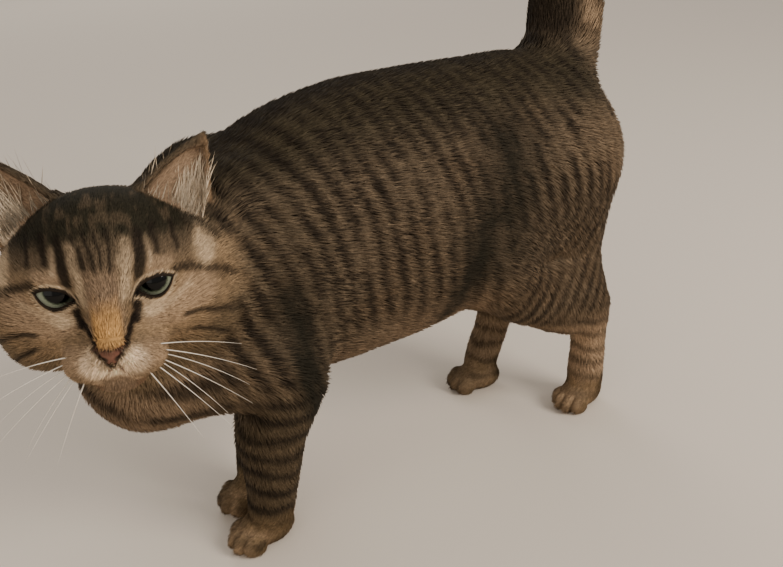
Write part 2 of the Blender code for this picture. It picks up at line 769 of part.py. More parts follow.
def head_nodes():
    low = np.array(HEAD_CENTRE) - HEAD_REACH
    high = np.array(HEAD_CENTRE) + HEAD_REACH
    piece = surface("head", low, high, 1.7, TRIANGLES["head"])
    for side in SIDES.values():
        point, normal = ear_cut(side)
        cut_flat(piece, point - GAP / 2 * normal, normal)
    combine(piece, head_block(0.0), "INTERSECT")
    nose = piece.copy()
    nose.data = piece.data.copy()
    nose.name = "nose"
    bpy.context.scene.collection.objects.link(nose)
    combine(nose, nose_block(0.0), "INTERSECT")
    combine(piece, nose_block(GAP), "DIFFERENCE")
    eyes = []
    for name, side in SIDES.items():
        centre = from_head([np.array(EYE_CENTRE) * (-side, 1, 1)])[0]
        socket = ball("socket", centre, [EYE_RADIUS + GAP] * 3, head_axes())
        combine(socket, lid_opening(side), "UNION")
        combine(piece, socket, "DIFFERENCE")
        eyes.append(ball("eye_" + name, centre, [EYE_RADIUS] * 3, head_axes(), 20))
    for route in MOUTH_LINES:
        for mirror in (1, -1):
            combine(piece, groove([(mirror * x, y, z) for x, y, z in route]), "DIFFERENCE")
    for mirror in (1, -1):
        centre = from_head([(mirror * NOSTRIL[0][0], *NOSTRIL[0][1:])])[0]
        combine(nose, ball("nostril", centre, NOSTRIL[1], head_axes(), 12), "DIFFERENCE")
    return [piece, nose, *eyes]


def coat(piece, colour, roughness):
    material = bpy.data.materials.new(piece.name)
    material.use_nodes = True
    shader = material.node_tree.nodes["Principled BSDF"]
    shader.inputs["Base Color"].default_value = (*colour, 1)
    shader.inputs["Roughness"].default_value = roughness
    piece.data.materials.clear()
    piece.data.materials.append(material)
    piece.data.shade_smooth()


def build():
    nodes = [torso_node(), neck_node(), tail_node()]
    for name in LEGS:
        nodes += leg_nodes(name)
    for name, side in SIDES.items():
        nodes.append(ear_node("ear_" + name, side))
    nodes += head_nodes()
    cat = bpy.data.collections.new("domestic_cat")
    bpy.context.scene.collection.children.link(cat)
    for piece in nodes:
        bpy.context.scene.collection.objects.unlink(piece)
        cat.objects.link(piece)
        colour, roughness = COLOURS.get(piece.name.split("_")[0], COLOURS["coat"])
        coat(piece, colour, roughness)


for old in list(bpy.data.objects):
    bpy.data.objects.remove(old)
build()
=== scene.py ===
"""Looks of the standing tabby cat: one skin with eyes, claws, whiskers and a coat of fur tufts.

The skin is meshed from the same field of named forms as the CAD solids and lies inside them by the depth of
the coat. Sizes are in millimetres in the frame that the forms are given in, and place() moves them to the
model's.
"""

import functools
import itertools
import json
import math

import bmesh
import bpy
import numpy as np
from mathutils import Matrix, Vector

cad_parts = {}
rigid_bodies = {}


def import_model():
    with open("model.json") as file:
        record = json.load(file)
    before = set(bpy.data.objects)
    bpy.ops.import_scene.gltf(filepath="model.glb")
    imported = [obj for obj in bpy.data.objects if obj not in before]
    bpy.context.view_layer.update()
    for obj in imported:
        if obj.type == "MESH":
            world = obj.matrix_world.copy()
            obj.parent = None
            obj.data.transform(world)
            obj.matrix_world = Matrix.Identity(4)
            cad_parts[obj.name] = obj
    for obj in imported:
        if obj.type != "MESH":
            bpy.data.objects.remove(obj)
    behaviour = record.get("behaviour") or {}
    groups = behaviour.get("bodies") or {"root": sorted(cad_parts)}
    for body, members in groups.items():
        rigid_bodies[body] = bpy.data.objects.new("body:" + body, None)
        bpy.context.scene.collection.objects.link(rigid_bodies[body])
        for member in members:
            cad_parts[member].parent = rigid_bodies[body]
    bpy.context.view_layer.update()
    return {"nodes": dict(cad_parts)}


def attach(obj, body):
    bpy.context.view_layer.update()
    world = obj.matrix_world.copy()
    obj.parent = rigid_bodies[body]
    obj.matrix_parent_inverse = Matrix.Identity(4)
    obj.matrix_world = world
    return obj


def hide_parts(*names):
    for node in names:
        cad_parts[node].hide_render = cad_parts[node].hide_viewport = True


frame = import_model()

MM = 0.001
BOX_MIDDLE = (-12.6, -14.2)

# The forms of the solids, as in the part's source, but with ears of a thinner wall and a deeper cup
TRUNK = (
    (-166, 150, 144, 147, 2),
    (-160, 178, 119, 150, 24),
    (-147, 197, 108, 151, 36),
    (-128, 214, 100, 153, 45),
    (-108, 229, 96, 157, 51),
    (-70, 249, 96, 161, 55),
    (-25, 260, 96, 165, 59),
    (30, 262, 98, 169, 61),
    (75, 261, 106, 176, 58),
    (115, 260, 122, 184, 52),
    (146, 253, 140, 192, 45),
    (165, 236, 152, 194, 34),
    (178, 212, 166, 190, 20),
    (184, 192, 184, 188, 2),
)
TRUNK_SQUARENESS = 2.25
NECK = ((-112, 0, 184), (-148, -14, 187), 45, 38)
THROAT = ((-153, -24, 147), (35, 31, 42))
NECK_SOFTNESS = 22
SHOULDER = ((-94, 32, 182), (34, 23, 52))
SHOULDER_SOFTNESS = 18
LEGS = {
    "foreleg_left": ((-133, 31, 143, 30, 0.80), (-91, 43, 118, 27, 0.82), (-98, 38, 84, 21.5, 0.85),
                     (-101, 33, 45, 16, 0.92), (-104, 29, 16, 13, 1.0)),
    "foreleg_right": ((-122, 30, 148, 27, 0.80), (-72, 42, 118, 25, 0.82), (-71, 34, 84, 19, 0.85),
                      (-88, 16, 45, 14.5, 0.92), (-95, 10, 16, 12.5, 1.0)),
    "hindleg_left": ((132, 22, 194, 46, 0.75), (70, 41, 134, 29, 0.72), (108, 43, 100, 22, 0.75),
                     (149, 42, 75, 14.5, 0.85), (151, 44, 20, 12.5, 1.0)),
    "hindleg_right": ((126, 22, 194, 46, 0.75), (58, 40, 130, 29, 0.72), (88, 35, 98, 22, 0.75),
                      (124, 28, 72, 14.5, 0.85), (107, 25, 20, 12.5, 1.0)),
}
HAMSTRINGS = {
    "hindleg_left": ((132, 25, 178), (140, 42, 92), 38, 16),
    "hindleg_right": ((130, 24, 178), (118, 28, 90), 38, 17),
}
LEG_SOFTNESS = 12
HAMSTRING_SOFTNESS = 28
PAWS = {
    "foreleg_left": (-107, 27, 4, 0.87),
    "foreleg_right": (-98, 8, 4, 0.9),
    "hindleg_left": (147, 44, 6, 0.86),
    "hindleg_right": (101, 22, 20, 0.88),
}
PAW_BODY = ((0, 0, 11), (20, 14.5, 12.6))
TOES = ((13.5, -10.5, 7.6), (18.5, -3.8, 8.0), (18.5, 3.8, 8.0), (13.5, 10.5, 7.6))
TOE_RADII = (9.0, 5.2, 8.6)
TOE_SOFTNESS = 2.5
PAW_SOFTNESS = 5
PAW_REACH = 65
TAIL = ((152, 0, 234, 25), (159, 0, 268, 24.5), (164, 1, 310, 23), (168, 3, 360, 21), (167, 5, 410, 18.5),
        (158, 6, 450, 16), (143, 6, 478, 12.5))
TAIL_SOFTNESS = 16
PATH_STEPS = 5
TUBE_NEAR = 30.0
HEAD_CENTRE = (-164.5, -40.3, 196.6)
HEAD_TURN = 72.5
HEAD_LIFT = 6.0
HEAD_TILT = 2.2
HEAD_SOFTNESS = 14
HEAD_REACH = 105
SKULL = ((0, 8.4, -8), (43, 34, 40))
HEAD_FORMS = (
    ((0, 21.4, 8), (26, 20.5, 20), 14),
    ((0, 5.4, 20), (18, 17, 16), 10),
    ((0, -19, 22), (21, 15, 22), 12),
    ((0, -31, 29), (12.5, 8, 12.5), 5),
)
HEAD_PAIRS = (
    ((28, -4, 1), (22.5, 23, 26), 14),
    ((30, -19.5, -8), (22, 20, 22), 12),
    ((20, -6.5, 19), (12, 10, 11), 8),
    ((9.5, -21.5, 35.5), (11.5, 9, 12.5), 5),
)
BRIDGE = ((0, 12.4, 29), (0, -11, 44), 11.5, 7.0)
NOSE = ((0, -15.5, 46.5), (6.5, 5.5, 6.5))
EYE_RADIUS = 10.4
EYE_CENTRE = (20.2, 6.4, 20.6)
LID_THICKNESS = 1.9
EAR_TIP = (49.2, 61.6, -14.9)
EAR_LENGTH = 47.8
EAR_AXIS = (0.519, 0.835, -0.186)
EAR_FACING = (0.315, 0.021, 0.949)
EAR_HALF_WIDTH = 18.5
EAR_DEPTH = 13.5
EAR_WALL = 2.2
EAR_RIM = 2.5
EAR_CUP_FLOOR = 10.0
EAR_CUP_TOP = 42.0
SIDES = {"left": -1.0, "right": 1.0}
MIRRORS = ((1, 1, 1), (-1, 1, 1))

# Face details in the head's axes, to the cat's left, up and forward
LID_WIDTH = 7.8
LID_UPPER = 2.9
LID_LOWER = 4.6
LID_SLANT = 15.5
LID_CENTRE = (19.9, 6.2)
LID_EDGE = 0.7
SOCKET_DEPTH = 2.5
NOSE_PAD_TOP = (6.0, -11.6)
NOSE_PAD_BOTTOM = (1.6, -18.6)
NOSTRIL = ((2.7, -16.0, 53), (4.6, -15.2, 49.5), 1.15, 0.75)
MOUTH_LINE = ((0, -18, 52), (0, -21, 51.5), (0, -25, 50), (3, -27.6, 48), (7, -29.4, 45), (12, -30, 41),
              (16, -29, 35), (19, -27.5, 27))
MOUTH_RADIUS = 0.75
MOUTH_EDGE = 0.7
NOSTRIL_EDGE = 0.4

# Crease over the upper lid: how far over it, width and depth
CREASE_GAP = 2.3
CREASE_WIDTH = 0.6
CREASE_DEPTH = 0.5

# Depth of the coat at the lids and on the bare nose, and how far ahead in the head the nose starts
LID_COAT = 0.75
PAD_COAT = 0.1
PAD_FRONT = 40

# Coat by region: depth under the solids' faces, length and width of a tuft, layers of tufts
COATS = {
    "trunk": (2.8, 9.5, 0.95, 4.2),
    "tail": (3.0, 10.0, 1.0, 4.2),
    "leg": (1.9, 7.0, 0.85, 3.8),
    "paw": (1.2, 4.2, 0.65, 3.6),
    "cheek": (2.2, 6.5, 0.72, 4.0),
    "face": (1.1, 3.3, 0.48, 3.6),
    "ear": (0.35, 3.2, 0.5, 2.4),
}
TUFTS_A_PIECE = 45000

# Towards the tail's tip, between these heights, the tufts become shorter by this share
TAIL_TIP = (455, 482)
TAIL_TIP_SHORT = 0.4

# A tuft is widest at these shares of its length and its height, and its root lies a share of its width deep
TUFT_MIDDLE = 0.42
TUFT_RISE = 0.62
TUFT_ROOT = 0.3
LENGTH_SPREAD = 0.25
WIDTH_SPREAD = 0.2
HEIGHT_SPREAD = 0.4
TUFT_ROOT_SHADE = 0.5
TUFT_PATCH = 0.003

# Long hair in the ears: shortest, further length, width and depth, and hairs to the square millimetre
EAR_HAIR = (7, 8, 0.42, 0.2)
EAR_HAIR_DENSITY = 0.9

# Height of the skin and the coat over the floor
SOLE = 0.25

# Where the coat's regions and markings begin and end: heights and places along the body, each a soft edge
LEG_OUT = (6, 22)
LEG_TOP = (120, 165)
PAW_TOP = (22, 38)
TAIL_FRONT = (90, 120)
TAIL_BASE = (246, 268)
TAIL_MARKS = (252, 275)
TAIL_DARK = (450, 462)
OFF_TRUNK = (4, 18)
LEG_MARKS = (104, 140)
BELLY_TOP = (108, 150)
THIGH_FRONT = (40, 78)
THIGH_TOP = (150, 195)
FORE_BACK = (-40, 0)
SHANK_TOP = (78, 100)
SPINE = (205, 232)

# Middle and radii of the ovals that part the head's coat and its markings from the body's
HEAD_COAT = ((0, -2, 2), (56, 46, 52))
HEAD_MARKS = ((0, -2, 4), (54, 47, 48))

# Colours of the coat
GROUND = (0.128, 0.092, 0.058)
WARM = (0.140, 0.090, 0.050)
OLIVE = (0.046, 0.037, 0.021)
STRIPE = (0.017, 0.012, 0.008)
BLACK = (0.009, 0.006, 0.005)
BUFF = (0.230, 0.156, 0.096)
PALE = (0.360, 0.245, 0.150)
CREAM = (0.560, 0.410, 0.260)
WHITE = (0.900, 0.680, 0.460)
TOE = (0.260, 0.170, 0.086)
CHEEK = (0.290, 0.195, 0.110)
FOREHEAD = (0.122, 0.086, 0.053)
CROWN = (0.027, 0.023, 0.014)
FOLD_SHADE = (0.016, 0.014, 0.009)
CHIN = (0.150, 0.086, 0.050)
BRIDGE_TOP = (0.230, 0.155, 0.098)
BRIDGE_LOW = (0.540, 0.300, 0.110)
NOSE_SKIN = (0.200, 0.080, 0.055)
LIP = (0.120, 0.060, 0.052)
EAR_BACK = (0.080, 0.058, 0.036)
EAR_INSIDE = (0.345, 0.235, 0.150)
EAR_WHITE = (0.720, 0.580, 0.420)
EAR_EDGE = (0.260, 0.160, 0.088)
SKIN_SHADE = 0.8
STRIPE_SPACING = 11.0

# Painted shade on each side of the body, in the fold in front of the thigh and behind the elbow, where the
# skin is
# also pressed in a little: route, width, strength, depth in the skin
SHADE_LINES = (
    (((66, -54, 214), (61, -59, 195), (54, -62, 178), (46, -61, 162)), 38.0, 0.80, 0.0),
    (((50, -62, 178), (45, -61, 162), (37, -60, 150), (29, -57, 137), (25, -47, 122)), 21.0, 0.97, 2.0),
    (((-87, -58, 168), (-82, -60, 149), (-81, -62, 125), (-78, -59, 102), (-73, -48, 90)), 15.0, 0.97, 1.0),
)

# Lines of the face, seen from in front: route and half width
BROW_LINES = (
    (((15.6, 29), (15.3, 24), (15.0, 18), (14.6, 12.5)), 2.2),
    (((22.5, 31), (22.5, 26), (22.8, 20)), 1.2),
    (((29, 29), (29.5, 24), (30.5, 18.5)), 1.1),
)
CREAM_LINES = (
    (((10.0, 26.5), (10.4, 20.5), (9.4, 14.5), (8.8, 5.5)), 1.8),
    (((18.8, 26), (18.8, 21), (19.4, 16)), 0.9),
)
CENTRE_LINES = (
    (((-9.6, 30), (-7.6, 25), (-5.7, 19)), 1.0),
    (((-5.0, 31), (-3.6, 25), (-2.2, 18)), 0.9),
    (((0.0, 31), (0.2, 25), (0.6, 19)), 0.8),
    (((4.2, 31), (4.4, 25), (4.0, 17)), 0.9),
)
DARK_LINES = (
    (((29.5, 11.5), (37.3, 9.9), (47, 5), (54, -2)), 1.6),
    (((31.2, -9.8), (37, -10.4), (46, -14), (53, -20)), 1.4),
    (((33, -20), (41, -24), (48, -31)), 1.3),
    (((35, 28), (42, 24), (50, 16)), 1.2),
)
TEAR_LINES = (
    (((11.6, 6.0), (12.4, 1.0), (12.0, -3.5), (11.2, -6.4)), 1.9),
    (((9.6, -4.4), (7.9, -7.6), (6.6, -11.4), (3.4, -16.4)), 1.4),
)

# Mesh steps of the skin
SKIN_STEP = 3.0
HEAD_STEP = 1.3
SKIN_LOW = (-232, -98, -6)
SKIN_HIGH = (206, 80, 506)
HEAD_LOW = (-224, -94, 142)
HEAD_HIGH = (-108, 22, 268)
BLOCK = 4

# Eyes: where they look in the head's axes, and the colours from the middle of the pupil outwards
EYE_GAZES = {"left": (-0.06, 0.27, 0.96), "right": (0.20, 0.27, 0.96)}
CORNEA_EDGE = 0.62
CORNEA_BULGE = 0.05
IRIS_GRAIN = 900
EYE_STOPS = (
    (0.0, (0.002, 0.002, 0.002)),
    (0.56, (0.001, 0.001, 0.001)),
    (0.60, (0.04, 0.05, 0.03)),
    (0.66, (0.18, 0.20, 0.14)),
    (0.84, (0.29, 0.31, 0.24)),
    (0.89, (0.07, 0.06, 0.045)),
    (0.93, (0.10, 0.06, 0.05)),
    (1.0, (0.20, 0.13, 0.11)),
)

# Claws: how far the root lies inside the toe, then length, height of the root, droop, and radius
CLAW_DEPTH = 3.0
CLAW_LENGTH = 4.6
CLAW_HEIGHT = 5.6
CLAW_DROOP = 2.2
CLAW_RADIUS = 1.1
CLAW_FLATNESS = 0.6
CLAW_STEPS = 5
CLAW_SIDES = 6
CLAW_COLOURS = ((0.16, 0.11, 0.07), (0.30, 0.22, 0.15))

WHISKER_RADIUS = 0.33
WHISKER_STEPS = 12
WHISKER_SIDES = 5
WHISKER_COLOURS = ((0.62, 0.55, 0.46), (0.85, 0.80, 0.72))

# Whiskers of the left side in the head's axes: root, direction, length and droop
WHISKERS = (
    ((14, -17, 40), (1.0, -0.05, -0.12), 39, 0.15),
    ((15, -19, 39), (1.0, -0.30, -0.10), 45, 0.15),
    ((14, -21, 40), (0.9, -0.62, -0.10), 49, 0.12),
    ((13, -22.5, 41), (0.72, -0.85, -0.10), 48, 0.10),
    ((11, -24, 43), (0.52, -1.0, -0.08), 43, 0.08),
    ((16, -22, 36), (0.95, -0.45, -0.2), 43, 0.2),
    ((15, -24, 37), (0.75, -0.75, -0.17), 40, 0.2),
)

# Size of the noise in the materials, in turns to the metre
FUR_GRAIN = 700
SHELL_GRAIN = 120

# The photograph's camera: azimuth, pitch and roll in degrees, place in the forms' frame
LENS = 34.94
SENSOR_WIDTH = 36
CAMERA_ANGLES = (32.3, 25.6, -3.7)
CAMERA_PLACE = (-226.4, -377.0, 339.4)

# Studio in metres; each lamp has its name, place, target, size, watts and colour
FLOOR_SIZE = 14
FLOOR_COLOUR = (0.80, 0.71, 0.61, 1)
LAMPS = (
    ("key", (0.75, -1.55, 1.15), (0, 0.2, 0.05), 0.9, 29, (1.0, 0.93, 0.84)),
    ("fill", (-1.5, -1.0, 0.8), (0, 0, 0.15), 1.4, 6, (1.0, 0.92, 0.82)),
    ("back", (1.2, 5.5, 3.6), (0, 0, 0.15), 3.0, 60, (1.0, 0.96, 0.90)),
)
WORLD_COLOUR = (0.93, 0.88, 0.82, 1)
WORLD_LIGHT = 0.58


def smooth_join(a, b, softness):
    """Distance to two forms joined with a fillet."""
    share = np.clip(0.5 + 0.5 * (b - a) / softness, 0, 1)
    return b + (a - b) * share - softness * share * (1 - share)


def smooth_cut(a, tool, softness):
    """Form a with the tool taken out of it, its edge rounded."""
    return -smooth_join(-a, tool, softness)


def rise(value, low, high):
    """0 below low, 1 above high, smooth between them."""
    share = np.clip((value - low) / (high - low), 0, 1)
    return share * share * (3 - 2 * share)


def ellipsoid(points, centre, radii):
    offset = points - np.array(centre, float)
    radii = np.array(radii, float)
    near = np.linalg.norm(offset / radii, axis=1)
    steep = np.linalg.norm(offset / radii ** 2, axis=1)
    return near * (near - 1) / np.maximum(steep, 1e-9)


def rod(points, start, end, start_radius, end_radius, start_flat=1.0, end_flat=1.0):
    """Round-ended taper from start to end, flattened sideways."""
    start = np.array(start, float)
    along = np.array(end, float) - start
    share = np.clip((points - start) @ along / (along @ along), 0, 1)
    offset = points - start - share[:, None] * along
    flat = start_flat + share * (end_flat - start_flat)
    offset[:, 1] = offset[:, 1] / flat
    radius = start_radius + share * (end_radius - start_radius)
    return (np.linalg.norm(offset, axis=1) - radius) * flat


def smooth_curve(x, xs, ys):
    """Cubic through the stations, with flat ends."""
    xs = np.array(xs, float)
    ys = np.array(ys, float)
    slope = np.gradient(ys, xs)
    x = np.clip(x, xs[0], xs[-1])
    i = np.clip(np.searchsorted(xs, x) - 1, 0, len(xs) - 2)
    width = xs[i + 1] - xs[i]
    t = (x - xs[i]) / width
    return (
        (2 * t ** 3 - 3 * t ** 2 + 1) * ys[i]
        + (t ** 3 - 2 * t ** 2 + t) * width * slope[i]
        + (3 * t ** 2 - 2 * t ** 3) * ys[i + 1]
        + (t ** 3 - t ** 2) * width * slope[i + 1]
    )


def trunk(points):
    stations = np.array(TRUNK, float)
    x = points[:, 0]
    back, belly, widest, half = (smooth_curve(x, stations[:, 0], stations[:, i]) for i in range(1, 5))
    height = points[:, 2] - widest
    reach = np.where(height > 0, back - widest, widest - belly)
    across = np.abs(points[:, 1]) / half
    up = np.abs(height) / reach
    n = TRUNK_SQUARENESS
    level = ((across ** n + up ** n) ** (1 / n) - 1) * np.minimum(half, reach)
    beyond = np.maximum(stations[0, 0] - x, x - stations[-1, 0])
    return np.hypot(np.maximum(level, 0), np.maximum(beyond, 0)) + np.minimum(level, 0)


def smooth_path(rows):
    """Rows along a smooth curve through the given rows, each of a place and its sizes."""
    rows = np.array(rows, float)
    spans = np.linalg.norm(np.diff(rows[:, :3], axis=0), axis=1)
    at = np.concatenate([[0], np.cumsum(spans)])
    count = 1 + PATH_STEPS * len(spans)
    fine = np.linspace(0, at[-1], count)
    return np.stack([smooth_curve(fine, at, column) for column in rows.T], 1)


def tube(points, rows):
    """Round-ended tube through rows of x, y, z, radius and sideways share of the radius."""
    path = smooth_path(rows)
    reach = path[:, 3].max()
    low = path[:, :3].min(0) - reach
    high = path[:, :3].max(0) + reach
    level = np.linalg.norm(np.maximum(np.maximum(low - points, points - high), 0), axis=1)
    near = level < TUBE_NEAR
    close = points[near]
    found = np.full(len(close), np.inf)
    for a, b in itertools.pairwise(path):
        found = np.minimum(found, rod(close, a[:3], b[:3], a[3], b[3], a[4], b[4]))
    level[near] = found
    return level


def leg(points, joints, side):
    """A leg through its joints, given for the left side."""
    return tube(points, [(x, side * y, z, radius, flat) for x, y, z, radius, flat in joints])


def hamstring(points, name, side):
    start, end, start_radius, end_radius = HAMSTRINGS[name]
    ends = [(x, side * y, z) for x, y, z in (start, end)]
    return rod(points, *ends, start_radius, end_radius, 0.75, 0.8)


def paw_axes(points, name, side):
    """Points in a paw's own axes: forward, sideways and up, at the size of a full paw."""
    x, y, turn, size = PAWS[name]
    angle = math.radians(-side * turn)
    offset = points - np.array((x, side * y, 0.0))
    forward = -(offset[:, 0] * math.cos(angle) + offset[:, 1] * math.sin(angle))
    sideways = offset[:, 1] * math.cos(angle) - offset[:, 0] * math.sin(angle)
    return np.stack([forward, sideways, offset[:, 2]], 1) / size


def paw(points, name, side):
    local = paw_axes(points, name, side)
    level = ellipsoid(local, *PAW_BODY)
    for toe in TOES:
        level = smooth_join(level, ellipsoid(local, toe, TOE_RADII), TOE_SOFTNESS)
    return level * PAWS[name][3]


def tail(points):
    return tube(points, [(*row, 1.0) for row in TAIL])


def head_axes():
    """Rows: the head's left, up and forward directions."""
    turn = Matrix.Rotation(math.radians(HEAD_TURN), 3, "Z")
    lift = Matrix.Rotation(math.radians(HEAD_LIFT), 3, "Y")
    tilt = Matrix.Rotation(math.radians(HEAD_TILT), 3, "X")
    facing = turn @ lift @ tilt
    return np.array([facing @ Vector(v) for v in ((0, -1, 0), (0, 0, 1), (-1, 0, 0))])


def to_head(points):
    return (points - np.array(HEAD_CENTRE, float)) @ head_axes().T


def from_head(points):
    return np.array(points, float) @ head_axes() + np.array(HEAD_CENTRE, float)


def ear_axes():
    axis = Vector(EAR_AXIS).normalized()
    sideways = axis.cross(Vector(EAR_FACING)).normalized()
    facing = sideways.cross(axis)
    return np.array([sideways, axis, facing])


def ear_place(local):
    """Points in the left ear's own axes: sideways, height over its root and towards its opening."""
    axes = ear_axes()
    root = np.array(EAR_TIP) - EAR_LENGTH * axes[1]
    return (local - root) @ axes.T


def ear_shell(local):
    """Outer form of the left ear and the hollow of its cup, both as fields."""
    sideways, height, front = ear_place(local).T
    share = np.clip(height / EAR_LENGTH, 0, 1)
    width = EAR_HALF_WIDTH * (1 - share ** 1.6) ** 0.9 + 1.0
    depth = EAR_DEPTH * (1 - share ** 1.4) + 1.5
    thin = np.minimum(width, depth)
    outer = (np.hypot(sideways / width, front / depth) - 1) * thin
    outer = np.maximum.reduce([outer, height - EAR_LENGTH, -8 - height, front - EAR_RIM])
    wide_in = np.maximum(width - EAR_WALL, 0.3)
    deep_in = np.maximum(depth - EAR_WALL, 0.3)
    cup = (np.hypot(sideways / wide_in, front / deep_in) - 1) * np.minimum(wide_in, deep_in)
    cup = np.maximum.reduce([cup, EAR_CUP_FLOOR - height, height - EAR_CUP_TOP])
    return outer, cup


def halves(local):
    """Points in the head's axes, as they are and mirrored."""
    return [local * mirror for mirror in MIRRORS]


def head(points):
    local, mirrored = halves(to_head(points))
    level = ellipsoid(local, *SKULL)
    for centre, radii, softness in HEAD_FORMS:
        level = smooth_join(level, ellipsoid(local, centre, radii), softness)
    for centre, radii, softness in HEAD_PAIRS:
        for half in (local, mirrored):
            level = smooth_join(level, ellipsoid(half, centre, radii), softness)
    level = smooth_join(level, rod(local, *BRIDGE), 6)
    level = smooth_join(level, ellipsoid(local, *NOSE), 3)
    for half in (local, mirrored):
        lid = np.linalg.norm(half - np.array(EYE_CENTRE), axis=1) - EYE_RADIUS - LID_THICKNESS
        level = smooth_join(level, lid, 3)
    return level


def join_near(level, points, form, softness, centre, reach):
    """Joins a form, read only at the points within its reach."""
    near = (np.abs(points - np.array(centre)) < reach).all(1)
    if near.any():
        level[near] = smooth_join(level[near], form(points[near]), softness)
    return level


def limb(points, name, side):
    x, y, _, _ = PAWS[name]
    level = leg(points, LEGS[name], side)
    level = join_near(level, points, lambda p: paw(p, name, side), PAW_SOFTNESS, (x, side * y, 12), PAW_REACH)
    if name in HAMSTRINGS:
        level = smooth_join(level, hamstring(points, name, side), HAMSTRING_SOFTNESS)
    return level


def body(points):
    """The cat without its head: negative inside, about the distance in mm near the surface."""
    level = trunk(points)
    for side in SIDES.values():
        centre, radii = SHOULDER
        blade = ellipsoid(points, (centre[0], side * centre[1], centre[2]), radii)
        level = smooth_join(level, blade, SHOULDER_SOFTNESS)
    level = smooth_join(level, rod(points, *NECK), NECK_SOFTNESS)
    level = smooth_join(level, ellipsoid(points, *THROAT), NECK_SOFTNESS)
    for name in LEGS:
        level = smooth_join(level, limb(points, name, SIDES[name.split("_")[1]]), LEG_SOFTNESS)
    return smooth_join(level, tail(points), TAIL_SOFTNESS)


def earless(points):
    """The cat without its ears and the openings of its face."""
    return join_near(body(points), points, head, HEAD_SOFTNESS, HEAD_CENTRE, HEAD_REACH)


def lid_place(half):
    """Points in the plane of the left eye's opening: outwards along it and over it, and its edges above and
    below."""
    slant = math.radians(LID_SLANT)
    x = half[:, 0] - LID_CENTRE[0]
    y = half[:, 1] - LID_CENTRE[1]
    along = x * math.cos(slant) + y * math.sin(slant)
    over = y * math.cos(slant) - x * math.sin(slant)
    share = np.abs(along) / LID_WIDTH
    return along, over, LID_UPPER * (1 - share ** 2.6), -LID_LOWER * (1 - share ** 2)


def lid_rim(half):
    """How far outside the left eye's opening points lie, with their places along it and over it."""
    along, over, top, bottom = lid_place(half)
    return np.maximum(over - top, bottom - over), along, over


def lid_opening(half):
    rim, _, _ = lid_rim(half)
    depth = np.linalg.norm(half - np.array(EYE_CENTRE), axis=1)
    return np.maximum.reduce([rim * 0.8, EYE_RADIUS - SOCKET_DEPTH - depth, EYE_CENTRE[2] + 1 - half[:, 2]])


def pad_distance(local):
    """How far outside the outline of the bare nose a point lies, seen from in front."""
    share = (NOSE_PAD_TOP[1] - local[:, 1]) / (NOSE_PAD_TOP[1] - NOSE_PAD_BOTTOM[1])
    half_width = NOSE_PAD_TOP[0] + np.clip(share, 0, 1) * (NOSE_PAD_BOTTOM[0] - NOSE_PAD_TOP[0])
    sides = (np.abs(local[:, 0]) - half_width) * 0.86
    return np.maximum.reduce([sides, local[:, 1] - NOSE_PAD_TOP[1], NOSE_PAD_BOTTOM[1] - local[:, 1]])


def line_distance(points, route):
    """Distance to a line of straight lengths."""
    level = np.full(len(points), np.inf)
    for a, b in itertools.pairwise(np.array(route, float)):
        along = b - a
        share = np.clip((points - a) @ along / (along @ along), 0, 1)
        level = np.minimum(level, np.linalg.norm(points - a - share[:, None] * along, axis=1))
    return level


def oval(local, middle, radii):
    """How many radii from its middle points lie."""
    return np.linalg.norm((local - np.array(middle, float)) / radii, axis=1)


def region_shares(points):
    """How far each point belongs to each region's coat, each laid over those before it."""
    x, _, z = points.T
    local = to_head(points)
    leg_zone = rise(trunk(points), *LEG_OUT) * (1 - rise(z, *LEG_TOP))
    paw_zone = 1 - rise(z, *PAW_TOP)
    tail_zone = rise(z, *TAIL_BASE) * rise(x, *TAIL_FRONT)
    cheek_zone = 1 - rise(oval(local, *HEAD_COAT), 0.92, 1.22)
    side = np.abs(local[:, 0])
    front = rise(local[:, 2] + 0.25 * local[:, 1] - 0.35 * np.maximum(side - 22, 0), 2, 24)
    face_zone = cheek_zone * front * (1 - rise(side, 28, 42))
    ear_zone = np.zeros(len(points))
    for half in halves(local):
        outer, _ = ear_shell(half)
        height = ear_place(half)[:, 1]
        ear_zone = np.maximum(ear_zone, (1 - rise(outer, 0.2, 2.0)) * rise(height, 4, 14))
    return {
        "leg": leg_zone, "paw": paw_zone, "tail": tail_zone,
        "cheek": cheek_zone, "face": face_zone, "ear": ear_zone,
    }


def coat_sizes(points):
    """Depth, tuft length, tuft width and layers of the coat at each point."""
    sizes = np.tile(COATS["trunk"], (len(points), 1))
    for name, share in region_shares(points).items():
        sizes += share[:, None] * (np.array(COATS[name]) - sizes)
    sizes[:, 1] *= 1 - TAIL_TIP_SHORT * rise(points[:, 2], *TAIL_TIP)
    return sizes.T


